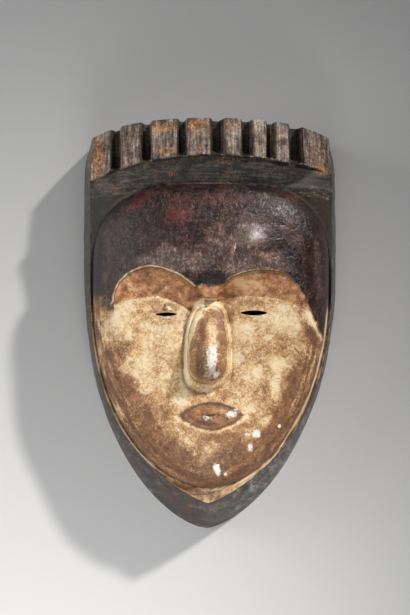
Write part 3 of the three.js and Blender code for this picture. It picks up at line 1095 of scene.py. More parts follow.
    def _front(self) -> bpy.types.Object:
        """Shape the front and extrude its edge into walls and rim.

        Returns:
            The piece, open behind.
        """
        piece = new_grid("carved_mask_wood", self.columns, self.rows)
        grid = places_of(piece) * MM
        across, along = (grid[:, 0] + 1.0) / 2.0, (grid[:, 1] + 1.0) / 2.0
        x, y = self.plan(across, along)
        z = self.front_height(x, y)
        border = np.minimum(np.minimum(across, 1 - across), np.minimum(along, 1 - along)) < NEAR_ZERO
        order = piece.data.attributes.new("place", "INT", "POINT")
        order.data.foreach_set("value", np.arange(len(x), dtype=np.int32))
        rings = len(self.wall_steps) + 2
        bpy.ops.object.mode_set(mode="EDIT")
        bpy.ops.mesh.select_mode(type="EDGE")
        bpy.ops.mesh.select_all(action="SELECT")
        bpy.ops.mesh.region_to_loop()
        for _ in range(rings):
            bpy.ops.mesh.extrude_region_move()
        bpy.ops.object.mode_set(mode="OBJECT")
        source = np.empty(len(piece.data.vertices), dtype=np.int32)
        piece.data.attributes["place"].data.foreach_get("value", source)
        count = int(border.sum())
        ring = np.zeros(len(source), dtype=np.int64)
        ring[len(x):] = 1 + np.arange(len(source) - len(x)) // count
        points = np.column_stack([x, y, z])[source]
        on_top = along[source] > 1 - NEAR_ZERO
        below = ring > 0
        points[below] = self._wall_points(points[below], ring[below], on_top[below])
        place(piece, points)
        write(piece, "wall", np.clip(ring, 0, 2) / 2.0)
        write(piece, "inside", ring > len(self.wall_steps))
        piece.data.attributes.remove(piece.data.attributes["place"])
        return piece

    def _wall_points(self, edge_points: Array, ring: Array, on_top: Array) -> Array:
        """Place the walls' rings between the front's edge and the rim, then the rim's flat.

        Args:
            edge_points: The point of the front's edge that each vertex hangs from.
            ring: Which ring it belongs to, from 1.
            on_top: Whether it hangs from the crest's upper edge.

        Returns:
            The points in mm.
        """
        edge_x, edge_y = edge_points[:, 0], edge_points[:, 1]
        angle = np.arctan2(edge_y - MIDDLE[1], edge_x - MIDDLE[0])
        outward = np.column_stack([np.cos(angle), np.sin(angle)])
        rim_x, rim_y = (MIDDLE + self.rim.reach_at(angle)[:, None] * outward).T
        corner = math.atan2(self._corner_top() - MIDDLE[1], self.crest.half_width)
        corner_x = float(self.rim.reach_at(np.array([corner]))[0]) * math.cos(corner)
        crown_x = edge_x * corner_x / self.crest.half_width
        rim_x = np.where(on_top, crown_x, rim_x)
        rim_y = np.where(on_top, self.rim.crown_y(crown_x), rim_y)
        steps = np.array((0.0,) + self.wall_steps + (1.0, 1.0))
        down = steps[np.minimum(ring, len(steps) - 1)]
        out = np.column_stack([rim_x - edge_x, rim_y - edge_y])
        belly = self.wall_belly * 4.0 * down * (1.0 - down)
        layers = self.wall_layers * down
        marks = self.wall_rough.at(edge_x, edge_y, layers) + self.wall_nicks.at(edge_x, edge_y, layers)
        shift = belly + marks * smooth(down * self.wall_fades[0]) * smooth((1.0 - down) * self.wall_fades[1])
        plan = edge_points[:, :2] + out * down[:, None] + outward * shift[:, None]
        inner = ring > len(self.wall_steps)
        share = np.where(ring > len(self.wall_steps) + 1, self.hollow.inner_edge_share, 1.0)
        inner_plan = MIDDLE + (share * self.hollow.outline.reach_at(angle))[:, None] * outward
        plan = np.where(inner[:, None], inner_plan, plan)
        z = np.where(inner, self.hollow.height(inner_plan[:, 1], share), edge_points[:, 2] * (1.0 - down))
        return np.column_stack([plan, z])

    def _hollow_grid(self) -> bpy.types.Object:
        """Shape the roof of the hollow from a grid, its faces turned to the inside.

        Returns:
            The piece, open along its edge.
        """
        piece = new_grid("hollow", self.hollow_columns, self.hollow_rows)
        grid = places_of(piece) * MM
        size = np.maximum(np.abs(grid[:, 0]), np.abs(grid[:, 1]))
        hollow = self.hollow
        angle = np.arctan2(grid[:, 1] * hollow.grid_squash, grid[:, 0])
        share = hollow.meeting_share * (1.0 - (1.0 - size) ** self.hollow_crowd)
        reach = hollow.outline.reach_at(angle)
        x = MIDDLE[0] + share * reach * np.cos(angle)
        y = MIDDLE[1] + share * reach * np.sin(angle)
        gouges = hollow.gouges.at(x, y) * smooth((1.0 - size) * hollow.gouge_fade)
        place(piece, np.column_stack([x, y, hollow.height(y, share) - np.abs(gouges)]))
        bpy.ops.object.mode_set(mode="EDIT")
        bpy.ops.mesh.select_all(action="SELECT")
        bpy.ops.mesh.flip_normals()
        bpy.ops.object.mode_set(mode="OBJECT")
        write(piece, "inside", np.ones(len(grid)))
        return piece

    def _closed(self, front: bpy.types.Object, hollow: bpy.types.Object) -> bpy.types.Object:
        """Join front and hollow and bridge the two open edges.

        Args:
            front: The front with its walls and rim.
            hollow: The roof of the hollow.

        Returns:
            The closed piece.
        """
        deselect_all()
        hollow.select_set(True)
        front.select_set(True)
        bpy.context.view_layer.objects.active = front
        bpy.ops.object.join()
        bpy.ops.object.mode_set(mode="EDIT")
        bpy.ops.mesh.select_mode(type="EDGE")
        bpy.ops.mesh.select_all(action="DESELECT")
        bpy.ops.mesh.select_non_manifold()
        bpy.ops.mesh.bridge_edge_loops()
        bpy.ops.mesh.select_all(action="SELECT")
        bpy.ops.mesh.quads_convert_to_tris(quad_method="SHORTEST_DIAGONAL")
        bpy.ops.mesh.normals_make_consistent(inside=False)
        bpy.ops.object.mode_set(mode="OBJECT")
        return front

    def _open_eye(self, piece: bpy.types.Object, eye: EyeSlit, number: int) -> None:
        """Cut one eye slit right through.

        Args:
            piece: The mask.
            eye: The slit.
            number: Its number.
        """
        deselect_all()
        bpy.ops.mesh.primitive_cylinder_add(vertices=self.eye_sides, radius=1.0, depth=2.0, location=(0, 0, 0))
        cutter = bpy.context.active_object
        place(cutter, eye.cutter(places_of(cutter) * MM, number))
        apply(piece, "BOOLEAN", object=cutter, operation="DIFFERENCE", solver="EXACT")
        bpy.data.objects.remove(cutter)


# Paint, wear and dirt, with painted shade, sheen and highlights. A pair is the place where a change begins and how
# far it takes, in mm, or as a share in the gouges, the notches, the nose and the mouth. A tear is how far the
# middling and the fine strays move an edge.

STRAYS = (Unevenness(0.6, (12.0, 12.0), 4, 5.0), Unevenness(0.8, (5.0, 5.0), 3, 15.0),
          Unevenness(0.9, (2.6, 2.6), 2, 25.0))
FRAME_STREAKS = Unevenness(1.0, (2.2, 15.0), 3, 3.0)
FRAME_REACH = 95.0
WALL_GOUGES = Unevenness(1.0, (16.0, 4.0), 3, 80.0)
WALL_REACH = 100.0
GOUGED: Pair = (0.12, 0.25)
COARSE_FROM = 8.0
MIDDLING_FROM = 2.6
DAB_TEAR = 0.7
DAB_EDGE: Pair = (0.45, 0.9)
TEAR = 0.8
BROW_FINE_TEAR = 2.4
LEFT_TEAR: Pair = (5.0, 4.0)
CUSP_FINE_TEAR = 4.0
MOUTH_TEAR: Pair = (0.05, 0.04)
FACE_SOFTNESS = 1.2
BROW_SOFTNESS = 1.6
LEFT_LINE_SOFTNESS = 22.0
LEFT_LINE = ((-100.0, -95.0, -88.0, -79.0), (20.0, 19.0, 15.0, 11.0))
PALE_BLOCKS = ((-100.0, -60.0, -20.0, 20.0, 45.0, 60.0, 80.0, 100.0), (0.9, 0.1, 0.25, 0.25, 0.9, 0.5, 0.0, 0.0))
LOWER_HALF: Pair = (4.0, 22.0)
TORN_BROW: Pair = (62.0, 12.0)
CUSP_X = -1.0
BESIDE_CUSP: Pair = (9.0, 6.0)
CUSP_SIDES: Pair = (12.0, 4.0)
CUSP_TOP: Pair = (24.0, 6.0)
OFF_NOSE: Pair = (1.0, 0.06)
CORE_EDGE = 0.05
CORE_THINNING = 0.16
LIPS: Pair = (0.98, 0.08)
NOSE_LEFT: Pair = (3.0, 4.0)
NOSE_TOP: Pair = (-22.0, 14.0)
RIM_LEFT: Pair = (6.0, 5.0)
RIM_FOOT: Pair = (-46.0, 10.0)
RIM_TOP: Pair = (-10.0, 10.0)
BRIDGE: Pair = (14.0, 5.0)
SOCKET_LEFT: Pair = (-84.0, 5.0)
SOCKET_RISE = 1.5
SOCKET_RISING: Pair = (-40.0, 40.0)
SOCKET_WIDTHS: Pair = (2.0, 12.0)
SOCKET_WIDENING: Pair = (-62.0, 40.0)
NEAR_FRAME: Pair = (-22.0, 16.0)
CHIN_WEAR: Pair = (-70.0, -50.0)
TEMPLE_RIGHT: Pair = (58.0, 10.0)
TEMPLE_RIM: Pair = (-30.0, 12.0)
TEMPLE_FOOT: Pair = (16.0, 8.0)
ARCH_LEFT: Pair = (50.0, 10.0)
ARCH_END: Pair = (-84.0, 2.0)
ARCH_FOOT: Pair = (10.0, 6.0)
CHIN_Y = -125.0
OCHRE_FROM_X = 60.0
RIGHT_EDGE: Pair = (50.0, 15.0)
RIGHT_WALL: Pair = (-10.0, 40.0)
CHIN_WALL: Pair = (80.0, 30.0)
BAND_FOOT: Pair = (0.0, 4.0)
NOTCH_BRINK: Pair = (0.05, 0.2)
NOTCH_FLOOR: Pair = (0.3, 0.5)
WORN_WALL = 0.85


class Coat(Enum):
    """What lies on the wood, each kept as a mask on the mesh's points; some of the masks also carry painted shade,
    sheen and highlights.
    """

    DARK = "dark"
    CLAY = "clay"
    BROWN = "brown"
    BLACK = "black"
    EDGE = "edge"
    BLOCK = "block"
    OCHRE = "ochre"
    # Painted shade in grooves, in notches and under the blocks, with cracks and dark marks
    GRIME = "shade_and_grime"
    RED = "red"
    # Worn grey and pale blocks, with painted sheen and a painted highlight on the forehead, and painted sheen on the
    # right wall
    GREY = "grey_and_sheen"
    # White flakes, some of them painted highlights on the nose, lips and chin
    FLECK = "fleck_and_glint"
    RAW = "raw"
    SOCKET = "socket"
    UMBER = "umber"


@dataclass(frozen=True)
class Dab:
    """A torn oval of one coat on the front.

    Args:
        x: Its middle across.
        y: Its middle along.
        half_x: Half its width.
        half_y: Half its length.
        turn: Turn to the left in degrees.
        strength: How strong it is in the middle.
    """

    x: float
    y: float
    half_x: float
    half_y: float
    turn: float = 0.0
    strength: float = 1.0

    def cover(self, x: Array, y: Array, strays: list[Array]) -> Array:
        """How strongly it covers each place.

        Args:
            x: Places across, in mm.
            y: Places along, in mm.
            strays: Coarse, middling and fine noise that tears its edge.

        Returns:
            From 0 to its strength.
        """
        angle = math.radians(self.turn)
        across = (x - self.x) * math.cos(angle) + (y - self.y) * math.sin(angle)
        along = (y - self.y) * math.cos(angle) - (x - self.x) * math.sin(angle)
        least = min(self.half_x, self.half_y)
        stray = strays[0] if least > COARSE_FROM else strays[1] if least > MIDDLING_FROM else strays[2]
        away = np.hypot(across / self.half_x, along / self.half_y) + DAB_TEAR * stray
        return self.strength * (1.0 - fade(away, DAB_EDGE))


DABS: dict[Coat, tuple[Dab, ...]] = {
    Coat.CLAY: (
        Dab(-74, 0, 11, 14, 0, 0.3), Dab(-42, -14, 20, 13, 0, 0.22), Dab(-55, -40, 9, 19, 0, 0.3),
        Dab(-88, -12, 6, 22, 0, 0.3), Dab(27, -6, 16, 9, 0, 0.2), Dab(33, -44, 9, 9, 0, 0.3),
        Dab(57, 2, 18, 10, -15, 0.25), Dab(79, 2, 9, 4, -45, 0.4), Dab(-23, -62, 9, 7, 0, 0.3),
        Dab(28, -70, 8, 6, 0, 0.2), Dab(-66, -72, 8, 16, 25, 0.15), Dab(0, -11, 4, 13, 0, 0.35),
        Dab(-20, -96, 8, 7, 0, 0.2), Dab(-7, -106, 8, 7, 0, 0.15), Dab(53, -34, 6, 8, 0, 0.25),
        Dab(52, -54, 5, 9, 0, 0.25), Dab(46, -80, 12, 5, 20, 0.2), Dab(-38, -47, 7, 9, 0, 0.15),
        # Dab(-22, -46) and Dab(-2, 14) are painted light over the shadows that the nose and the forehead's cusp cast
        Dab(4, -101, 10, 4, 0, 0.15), Dab(18, -30, 5, 12, 0, 0.15), Dab(-22, -46, 5, 8, 30, 0.3),
        Dab(-2, 14, 11, 4, 0, 0.35),
    ),
    Coat.BROWN: (
        Dab(-71, -24, 5, 10, 0, 0.6), Dab(-66, -52, 9, 8, -25, 0.75), Dab(-58, -64, 8, 12, 25, 0.55),
        Dab(-84, -26, 4, 6, 0, 0.4), Dab(76, -10, 6, 10, 10, 0.5), Dab(56, -24, 10, 6, -15, 0.35),
        Dab(66, -50, 7, 14, -15, 0.8), Dab(-28, -31, 5, 11, 0, 0.25), Dab(-47, -88, 6, 20, 25, 0.8),
        Dab(-31, -108, 12, 14, 25, 0.75), Dab(21, -107, 22, 17, 0, 0.45), Dab(58, -78, 8, 9, -25, 0.8),
        Dab(45, -96, 8, 15, -35, 0.85), Dab(-8, -126, 20, 9, 0, 0.55), Dab(-36, -72, 6, 10, 0, 0.3),
        Dab(31, -120, 16, 6, 30, 0.7), Dab(-10, -35, 3.5, 15, 0, 0.8), Dab(-8, -9, 2.6, 9, 0, 0.8),
        Dab(15, 4, 3, 8, 0, 0.4), Dab(0, -60, 14, 4, 0, 0.25), Dab(22, -84, 9, 3, 0, 0.35),
        Dab(-90, 12, 7, 7, 20, 0.4), Dab(-28, 14, 10, 5, 0, 0.45), Dab(-46, 17, 8, 3, 0, 0.35),
        Dab(30, 14, 12, 4, 0, 0.45), Dab(14, 18, 8, 6, 0, 0.4), Dab(0, -92, 18, 6, 0, 0.35),
        Dab(72, -30, 5, 12, 0, 0.45), Dab(-78, -44, 5, 20, 18, 0.5), Dab(50, -86, 8, 15, -30, 0.9),
        Dab(-68, -66, 7, 14, 25, 0.6), Dab(57, -70, 10, 14, -25, 0.5), Dab(38, -50, 16, 12, 0, 0.25),
        Dab(-45, -30, 18, 22, 0, 0.15), Dab(-44, -84, 12, 16, 20, 0.3),
    ),
    Coat.RED: (
        Dab(-27, 84, 12, 8, 10, 0.9), Dab(61, 76, 8, 7, 0, 0.45), Dab(0, 98, 40, 5, 0, 0.5),
        Dab(-2, 26, 6, 5, 0, 0.5), Dab(-60, 96, 14, 4, 30, 0.6), Dab(66, 101, 7, 3.5, -15, 0.8),
        Dab(-39, -137, 5, 7, 30, 0.8), Dab(-30, -142, 4, 6, 30, 0.8), Dab(-19, -151, 5, 6, 30, 0.8),
        Dab(-62, -112, 4, 9, 25, 0.6), Dab(47, -128, 4, 7, -30, 0.5),
    ),
    Coat.GREY: (
        # Worn grey, with painted sheen: Dab(-34, 47) and Dab(38, 46) above the brows, Dab(-86, 55) and Dab(87, 40)
        # down the forehead's sides, and Dab(36, 70) and Dab(30, 66) paint the boss's highlight
        Dab(17, 74, 34, 20, 0, 0.42), Dab(-49, 64, 22, 12, 0, 0.35), Dab(-34, 47, 30, 11, 0, 1.0),
        Dab(36, 70, 7, 6, 0, 1.0), Dab(38, 46, 28, 10, 0, 1.0), Dab(30, 66, 13, 12, 0, 0.9),
        Dab(-86, 55, 5, 30, 0, 0.4), Dab(40, 101, 6, 3, 0, 0.8), Dab(87, 40, 4, 26, 0, 0.5),
        Dab(5, 52, 18, 16, 0, 0.5),
    ),
    Coat.OCHRE: (
        Dab(-94, 141, 7, 20, 0, 0.75), Dab(-69, 146, 8, 15, 0, 0.25), Dab(-40, 158, 14, 6, 0, 0.6),
        Dab(-38, 139, 9, 5, 0, 0.55), Dab(-12, 159, 10, 7, 0, 0.7), Dab(17, 158, 7, 5, 0, 0.45),
        Dab(88, 140, 10, 16, 0, 0.3), Dab(92, 128, 7, 5, 0, 0.5), Dab(10.6, 130.8, 9, 3, 0, 0.35),
        Dab(-32.7, 120.5, 3, 2, 0, 0.4), Dab(16.4, 56.1, 2.0, 6.5, -8, 0.7), Dab(-90, 20, 6, 6, 0, 0.22),
        Dab(30, 158, 6, 4, 0, 0.35), Dab(55, 153, 7, 4, 0, 0.35), Dab(-20, -133, 6, 3, 0, 0.6),
        Dab(-12, 139, 9, 3, 0, 0.4),
    ),
    Coat.FLECK: (
        # White flakes; Dab(16, -74.5) and Dab(-4, -77) on the lips, Dab(-0.5, -31) on the nose and Dab(4.7, -119.5),
        # Dab(11, -123), Dab(36, -89.8) and Dab(31, -102) on the chin are also painted highlights
        Dab(4.7, -119.5, 3.0, 4.8, 12, 0.9), Dab(36, -89.8, 3.3, 3.8, -20, 0.8),
        Dab(31, -102, 2.5, 3.2, 0, 0.8), Dab(16, -74.5, 6.0, 3.4, 20, 0.6),
        Dab(-4, -77, 4.0, 2.6, 0, 0.55), Dab(-0.5, -31, 6.6, 12.5, -8, 0.66),
        Dab(-37, 27, 0.9, 1.0, 0, 0.9), Dab(-38, 3.0, 5, 0.8, 0, 0.6), Dab(-47, 5.8, 2.2, 0.9, 10, 0.55),
        Dab(-43.5, 19.5, 2.0, 1.5, 0, 0.6), Dab(11, -123, 1.3, 1.5, 0, 1.0),
        Dab(55, -84, 1.2, 1.4, 0, 1.0), Dab(29, -91, 3, 1.6, 0, 0.6), Dab(17.8, 56.4, 0.7, 5.0, -12, 0.6),
        Dab(-34.5, 10.6, 2.2, 1.2, -40, 1.0), Dab(3.5, -44, 3.6, 2.2, 30, 0.65),
    ),
    Coat.GRIME: (
        # Dark chips by the left eye, cracks and holes in the frame's upper right and on the right cheek, the lips'
        # parting line, a mark on the chin and dark strips by the forehead's sides; Dab(78, 122) is painted shade over
        # the band's right end
        Dab(-38.3, 9.0, 2.4, 1.4, 0, 0.9), Dab(-38.0, 12.5, 1.2, 1.4, 0, 0.9),
        Dab(96.9, 82, 1.0, 6.0, 0, 1.0), Dab(94.3, 99, 1.2, 1.6, 0, 1.0),
        Dab(90.9, 91.5, 1.2, 1.6, 0, 0.9), Dab(82, -14, 8, 0.5, -30, 0.6), Dab(70, -24, 7, 0.5, -48, 0.6),
        Dab(78, 122, 24, 8, -12, 0.7), Dab(-18, -134, 5, 2, 0, 0.7), Dab(-3, -77.5, 9, 0.7, 0, 0.6),
        Dab(92, 60, 3, 34, 0, 0.4), Dab(-94, 74, 6, 40, 0, 0.8),
    ),
}


@dataclass(frozen=True)
class Line:
    """A soft line of paint or dirt beside an edge of the carving.

    Args:
        away: Distance of its middle from the edge.
        width: Its width.
        strength: How strong it is in the middle.
    """

    away: float
    width: float
    strength: float

    def at(self, distance: Array) -> Array:
        """Its strength at a distance from the edge."""
        return self.strength * peak(distance, self.away, self.width)


@dataclass
class Places:
    """Where the mesh's points lie on the carving, as the measures that the coats share.

    Args:
        mask: The carved form.
        points: The mesh's points in mm.
        wall: 0 on the front, 1 on the walls.
        inside: 1 on the hollow and the rim's inner edge.
    """

    mask: CarvedMask
    points: Array
    wall: Array
    inside: Array

    def __post_init__(self) -> None:
        """Work out the measures."""
        self.x, self.y = self.points[:, 0], self.points[:, 1]
        self.strays = [stray.at(self.x, self.y) for stray in STRAYS]
        self.front = (1.0 - clamp(self.wall * 2.0)) * (1.0 - self.inside)
        self.dabs = {coat: sum(dab.cover(self.x, self.y, self.strays) for dab in dabs) * (1.0 - self.inside)
                     for coat, dabs in DABS.items()}
        self._measure_face()
        self._measure_forehead()
        self._measure_features()
        self._measure_crest()

    def _measure_face(self) -> None:
        """Measure from the face's outline, the forehead's edge and the cheeks' edge."""
        x, y, face, strays = self.x, self.y, self.mask.face, self.strays
        self.angle = np.arctan2(y - MIDDLE[1], x - MIDDLE[0])
        self.border = np.hypot(x - MIDDLE[0], y - MIDDLE[1]) - face.outline.reach_at(self.angle)
        self.on_face = self.front * smooth(0.5 - self.border / FACE_SOFTNESS)
        self.lower = 1.0 - fade(y, LOWER_HALF)
        torn = TEAR * strays[1]
        self.brow = face.brow_distance(x, y) + torn + BROW_FINE_TEAR * strays[2] * fade(x, TORN_BROW)
        self.crease = face.crease_distance(x, y) + torn
        self.off_cusp = np.abs(x - CUSP_X)
        self.temples = face.temples(x) * fade(self.off_cusp, BESIDE_CUSP)

    def _measure_forehead(self) -> None:
        """Part the face into the dark forehead and the clay below it."""
        x, y, strays = self.x, self.y, self.strays
        line = np.interp(x, *LEFT_LINE) + LEFT_TEAR[0] * strays[1] + LEFT_TEAR[1] * strays[2]
        beyond = x < LEFT_LINE[0][-1]
        forehead = np.where(beyond, edge(y - line, LEFT_LINE_SOFTNESS), edge(self.brow, BROW_SOFTNESS)) * self.on_face
        self.cusp = 1.0 - fade(self.off_cusp, CUSP_SIDES)
        self.forehead = forehead * (1.0 - self.cusp * (1.0 - fade(y + CUSP_FINE_TEAR * strays[2], CUSP_TOP)))
        self.cheeks = self.on_face * (1.0 - self.forehead)

    def _measure_features(self) -> None:
        """Measure from the nose and the mouth."""
        x, y, nose, strays = self.x, self.y, self.mask.nose, self.strays
        self.nose_share = nose.share(x, y)
        self.core_away = self.nose_share - nose.core_share
        self.off_nose = fade(self.nose_share, OFF_NOSE)
        thinned = CORE_THINNING * fade(-x, NOSE_LEFT) * fade(y, NOSE_TOP)
        self.core = smooth((-self.core_away - thinned) / CORE_EDGE)
        self.mouth_share = self.mask.mouth.share(x, y) + MOUTH_TEAR[0] * strays[1] + MOUTH_TEAR[1] * strays[2]
        self.lips = 1.0 - fade(self.mouth_share, LIPS)
        self.streaks = FRAME_STREAKS.at(self.border, self.angle * FRAME_REACH)

    def _measure_crest(self) -> None:
        """Measure from the blocks' feet and into the notches."""
        x, y, crest = self.x, self.y, self.mask.crest
        self.foot = crest.foot(x) + RAGGED_FEET.at(x, y)
        self.depth = crest.notch_depth(x)
        on_crest = self.front * edge(y - self.foot, 1.0)
        in_notch = fade(self.depth, NOTCH_BRINK)
        worn = crest.worn_walls(x) * in_notch
        self.blocks = on_crest * np.maximum(1.0 - in_notch, WORN_WALL * worn)
        # The notches' floors, which take painted shade
        self.notches = on_crest * fade(self.depth, NOTCH_FLOOR) * (1.0 - worn)


@dataclass
class Painter:
    """Works out each coat's mask from where a point lies on the mask."""

    mask: CarvedMask
    clay_middle: float = 0.475
    clay_least: float = 0.22
    nose_clay: float = 0.31
    chin_wear: float = 0.23
    frame_wear: float = 0.23
    lip_wear: float = 0.3
    # Even, left and stray parts of the clay on the nose's rim; the left part is painted light on the side in shade
    rim_clay: tuple[float, float, float] = (0.08, 0.28, 0.14)
    bridge_wash: float = 0.8
    lip_wash: float = 0.35
    lip_pale: tuple[float, float, float] = (0.38, 0.45, 0.25)
    lip_right: float = 0.06
    lip_chin: float = 0.08
    line_pale: tuple[float, float, float] = (0.35, 0.2, 0.2)
    foot_ochre: Pair = (0.35, 0.45)
    # Painted sheen on the right wall by the chin
    chin_wall_sheen: float = 0.6
    frame_umber: Pair = (0.6, 0.2)
    wall_umber: float = 0.5
    # Darker marks where the walls are gouged, below the middle of the mask
    wall_gouge_darkening: float = 0.8
    # Painted shade in the notches' floors
    notch_shade: float = 0.4
    crease_light: Line = Line(-1.6, 1.5, 0.20)
    crease_shade: Line = Line(1.5, 2.0, 0.12)
    lower_lip: Line = Line(1.14, 0.09, 0.25)
    temple_light: Line = Line(-3.4, 1.5, 0.34)
    temple_shade: Line = Line(-9.5, 3.5, 0.26)
    temple_brink: Line = Line(0.0, 1.6, 0.2)
    foot_line: Line = Line(0.0, 0.9, 0.5)
    ring_line: Line = Line(1.2, 1.0, 1.0)
    ring_bright: Line = Line(68.0, 22.0, 0.16)
    # Lines of painted shade: under the brows, above the creases, beside the nose, round its core, inside the mouth's
    # outline, in the groove round the face, broken by streaks, and under the blocks' feet
    shade_lines: dict[str, Line] = field(default_factory=lambda: {
        "brow": Line(-1.6, 1.0, 0.5), "crease": Line(1.0, 1.0, 0.3), "nose": Line(1.1, 0.08, 1.0),
        "core": Line(0.01, 0.025, 0.5), "mouth": Line(0.94, 0.09, 0.62), "border": Line(0.2, 0.9, 0.5),
        "foot": Line(-0.8, 0.9, 0.5)})

    def dress(self, piece: bpy.types.Object) -> None:
        """Write every coat's mask to the piece's points."""
        places = Places(self.mask, places_of(piece), read(piece, "wall"), read(piece, "inside"))
        for coat, values in self.coats(places).items():
            write(piece, coat.value, clamp(values))

    def coats(self, at: Places) -> dict[Coat, Array]:
        """Work out one mask per coat.

        Args:
            at: Where the mesh's points lie on the carving.

        Returns:
            One mask per coat.
        """
        dabs, x = at.dabs, at.x
        right_edge = fade(x, RIGHT_EDGE)
        lip = at.front * smooth(at.border + 0.8 + 2.4 * right_edge) * at.lower
        right_wall = fade(x, RIGHT_WALL)
        return {
            Coat.DARK: at.forehead * (1.0 - 0.4 * dabs[Coat.OCHRE]),
            Coat.CLAY: self._clay(at) * at.on_face,
            Coat.BROWN: at.cheeks * dabs[Coat.BROWN],
            Coat.SOCKET: self._socket(at),
            Coat.BLACK: np.maximum(at.front * (1.0 - at.on_face) * (1.0 - lip), at.wall),
            Coat.EDGE: np.maximum(lip * self._lip(at, right_edge), np.maximum(self._arch(at), self._ring(at))),
            Coat.BLOCK: at.blocks,
            Coat.OCHRE: (dabs[Coat.OCHRE] + self._foot_line(at) * at.front) * at.front,
            # Painted shade in grooves, notches and under the blocks, with cracks and dark marks
            Coat.GRIME: self._shade_and_grime(at) + dabs[Coat.GRIME],
            Coat.RED: dabs[Coat.RED],
            # Worn grey and painted sheen on the forehead, pale blocks, and painted sheen on the right wall by the
            # chin
            Coat.GREY: (dabs[Coat.GREY] * at.forehead + np.interp(x, *PALE_BLOCKS) * at.blocks
                        + self.chin_wall_sheen * at.wall * right_wall * fade(-at.y, CHIN_WALL)),
            # White flakes, some of them painted highlights
            Coat.FLECK: dabs[Coat.FLECK] * at.front,
            Coat.RAW: at.inside,
            Coat.UMBER: self._umber(at, right_wall),
        }

    def _clay(self, at: Places) -> Array:
        """How thick the clay is: patches, streaks by the frame, rubbed or washed edges, painted shade above the
        creases and on the right temple, and painted light on the left of the nose's rim and in two patches over cast
        shadows.

        Args:
            at: Where the points lie.

        Returns:
            One value for each point, before it is held between 0 and 1.
        """
        x, y, dabs, strays = at.x, at.y, at.dabs, at.strays
        near_edge = fade(at.border, NEAR_FRAME) * at.lower
        clay = self.clay_middle + 0.75 * dabs[Coat.CLAY] - 0.26 * dabs[Coat.BROWN] + 0.6 * near_edge * at.streaks
        clay = clay + 0.08 * strays[0] - self.chin_wear * fade(y, CHIN_WEAR) - self.frame_wear * near_edge
        clay = np.maximum(clay, self.clay_least + 0.1 * strays[0] + 0.3 * near_edge * at.streaks)
        clay = mix(clay, self.nose_clay + 0.8 * dabs[Coat.CLAY] - 0.3 * dabs[Coat.BROWN], at.core)
        # The left part lightens the nose's rim on its side in shade: painted light
        rim_left_light = fade(-x, RIM_LEFT) * fade(y, RIM_FOOT) * fade(-y, RIM_TOP)
        even, left, stray = self.rim_clay
        clay += (even + left * rim_left_light + stray * strays[1]) * (1.0 - at.off_nose) * (1.0 - at.core)
        clay += self.crease_light.at(at.crease) * at.off_nose * at.temples * (x < 0)
        clay -= self.crease_shade.at(at.crease) * at.temples * at.off_nose
        clay += self.lower_lip.at(at.mouth_share) * (y < self.mask.mouth.outline.waist_y)
        right_temple = fade(x, TEMPLE_RIGHT) * fade(at.border, TEMPLE_RIM) * (1.0 - fade(-y, TEMPLE_FOOT))
        clay += right_temple * self.temple_light.at(at.brow + 1.2 * strays[1])
        clay -= right_temple * (self.temple_shade.at(at.brow) + self.temple_brink.at(at.brow))
        return clay - self.lip_wear * at.lips

    def _socket(self, at: Places) -> Array:
        """The brown wash of the eye sockets, the lips and the bridge of the nose.

        Args:
            at: Where the points lie.

        Returns:
            One value for each point.
        """
        away = at.crease - SOCKET_RISE * fade(at.x, SOCKET_RISING)
        hollow = at.cheeks * edge(away, mix(*SOCKET_WIDTHS, fade(at.x, SOCKET_WIDENING)))
        hollow *= at.off_nose * fade(at.x, SOCKET_LEFT)
        bridge = self.bridge_wash * at.cusp * at.off_nose * fade(at.y, BRIDGE)
        washed = np.maximum(np.maximum(hollow, self.lip_wash * at.lips), bridge)
        return at.on_face * washed * (1.0 - at.forehead)

    def _lip(self, at: Places, right_edge: Array) -> Array:
        """How pale the worn edge round the lower face is.

        Args:
            at: Where the points lie.
            right_edge: 1 by the right edge.

        Returns:
            One value for each point.
        """
        at_line = peak(at.border, 2.0 - 2.8 * right_edge, 0.8 + 0.3 * right_edge)
        even, on_right, far_right = self.line_pale
        pale_line = at_line * (even + on_right * (at.x > 0) + far_right * right_edge)
        even, streak, stray = self.lip_pale
        pale = even - self.lip_right * right_edge + self.lip_chin * (at.y < CHIN_Y)
        return pale + streak * at.streaks + stray * at.strays[1] + pale_line

    def _arch(self, at: Places) -> Array:
        """The pale line along both brow arches: worn paint, with a painted highlight where the brow's edge catches
        the light.

        Args:
            at: Where the points lie.

        Returns:
            One value for each point.
        """
        left = fade(-at.x, ARCH_LEFT) * fade(at.x, ARCH_END) * fade(at.y, ARCH_FOOT)
        on_left = at.x < 0
        arch = peak(at.brow, 0.6 + 0.2 * on_left, 0.8 + 0.3 * on_left) * np.maximum(at.temples, left) * at.off_nose
        return arch * (0.78 - 0.15 * (at.x > 0)) * (1.0 + 0.6 * at.strays[2])

    def _ring(self, at: Places) -> Array:
        """The broken pale ring round the forehead."""
        ring = self.ring_line.at(at.border) * (1.0 - at.lower) * (1.0 + 0.9 * at.strays[1]) * at.front
        return ring * (0.12 + self.ring_bright.at(np.abs(at.x + 3.0)) * (at.y > 40))

    def _foot_line(self, at: Places) -> Array:
        """The worn line along the foot of the crest's band."""
        line = self.foot_line.at(at.y - self.mask.crest.band_foot(at.x))
        strength = self.foot_ochre[0] + self.foot_ochre[1] * (at.x > OCHRE_FROM_X)
        return strength * line * (1.0 + 0.9 * at.strays[1]) * (1.0 - at.on_face)

    def _shade_and_grime(self, at: Places) -> Array:
        """Painted shade in the grooves, beside the nose, in the notches' floors and under the blocks' feet, and
        darker marks where the walls are gouged.

        Args:
            at: Where the points lie.

        Returns:
            One value for each point, before it is held between 0 and 1.
        """
        line = self.shade_lines
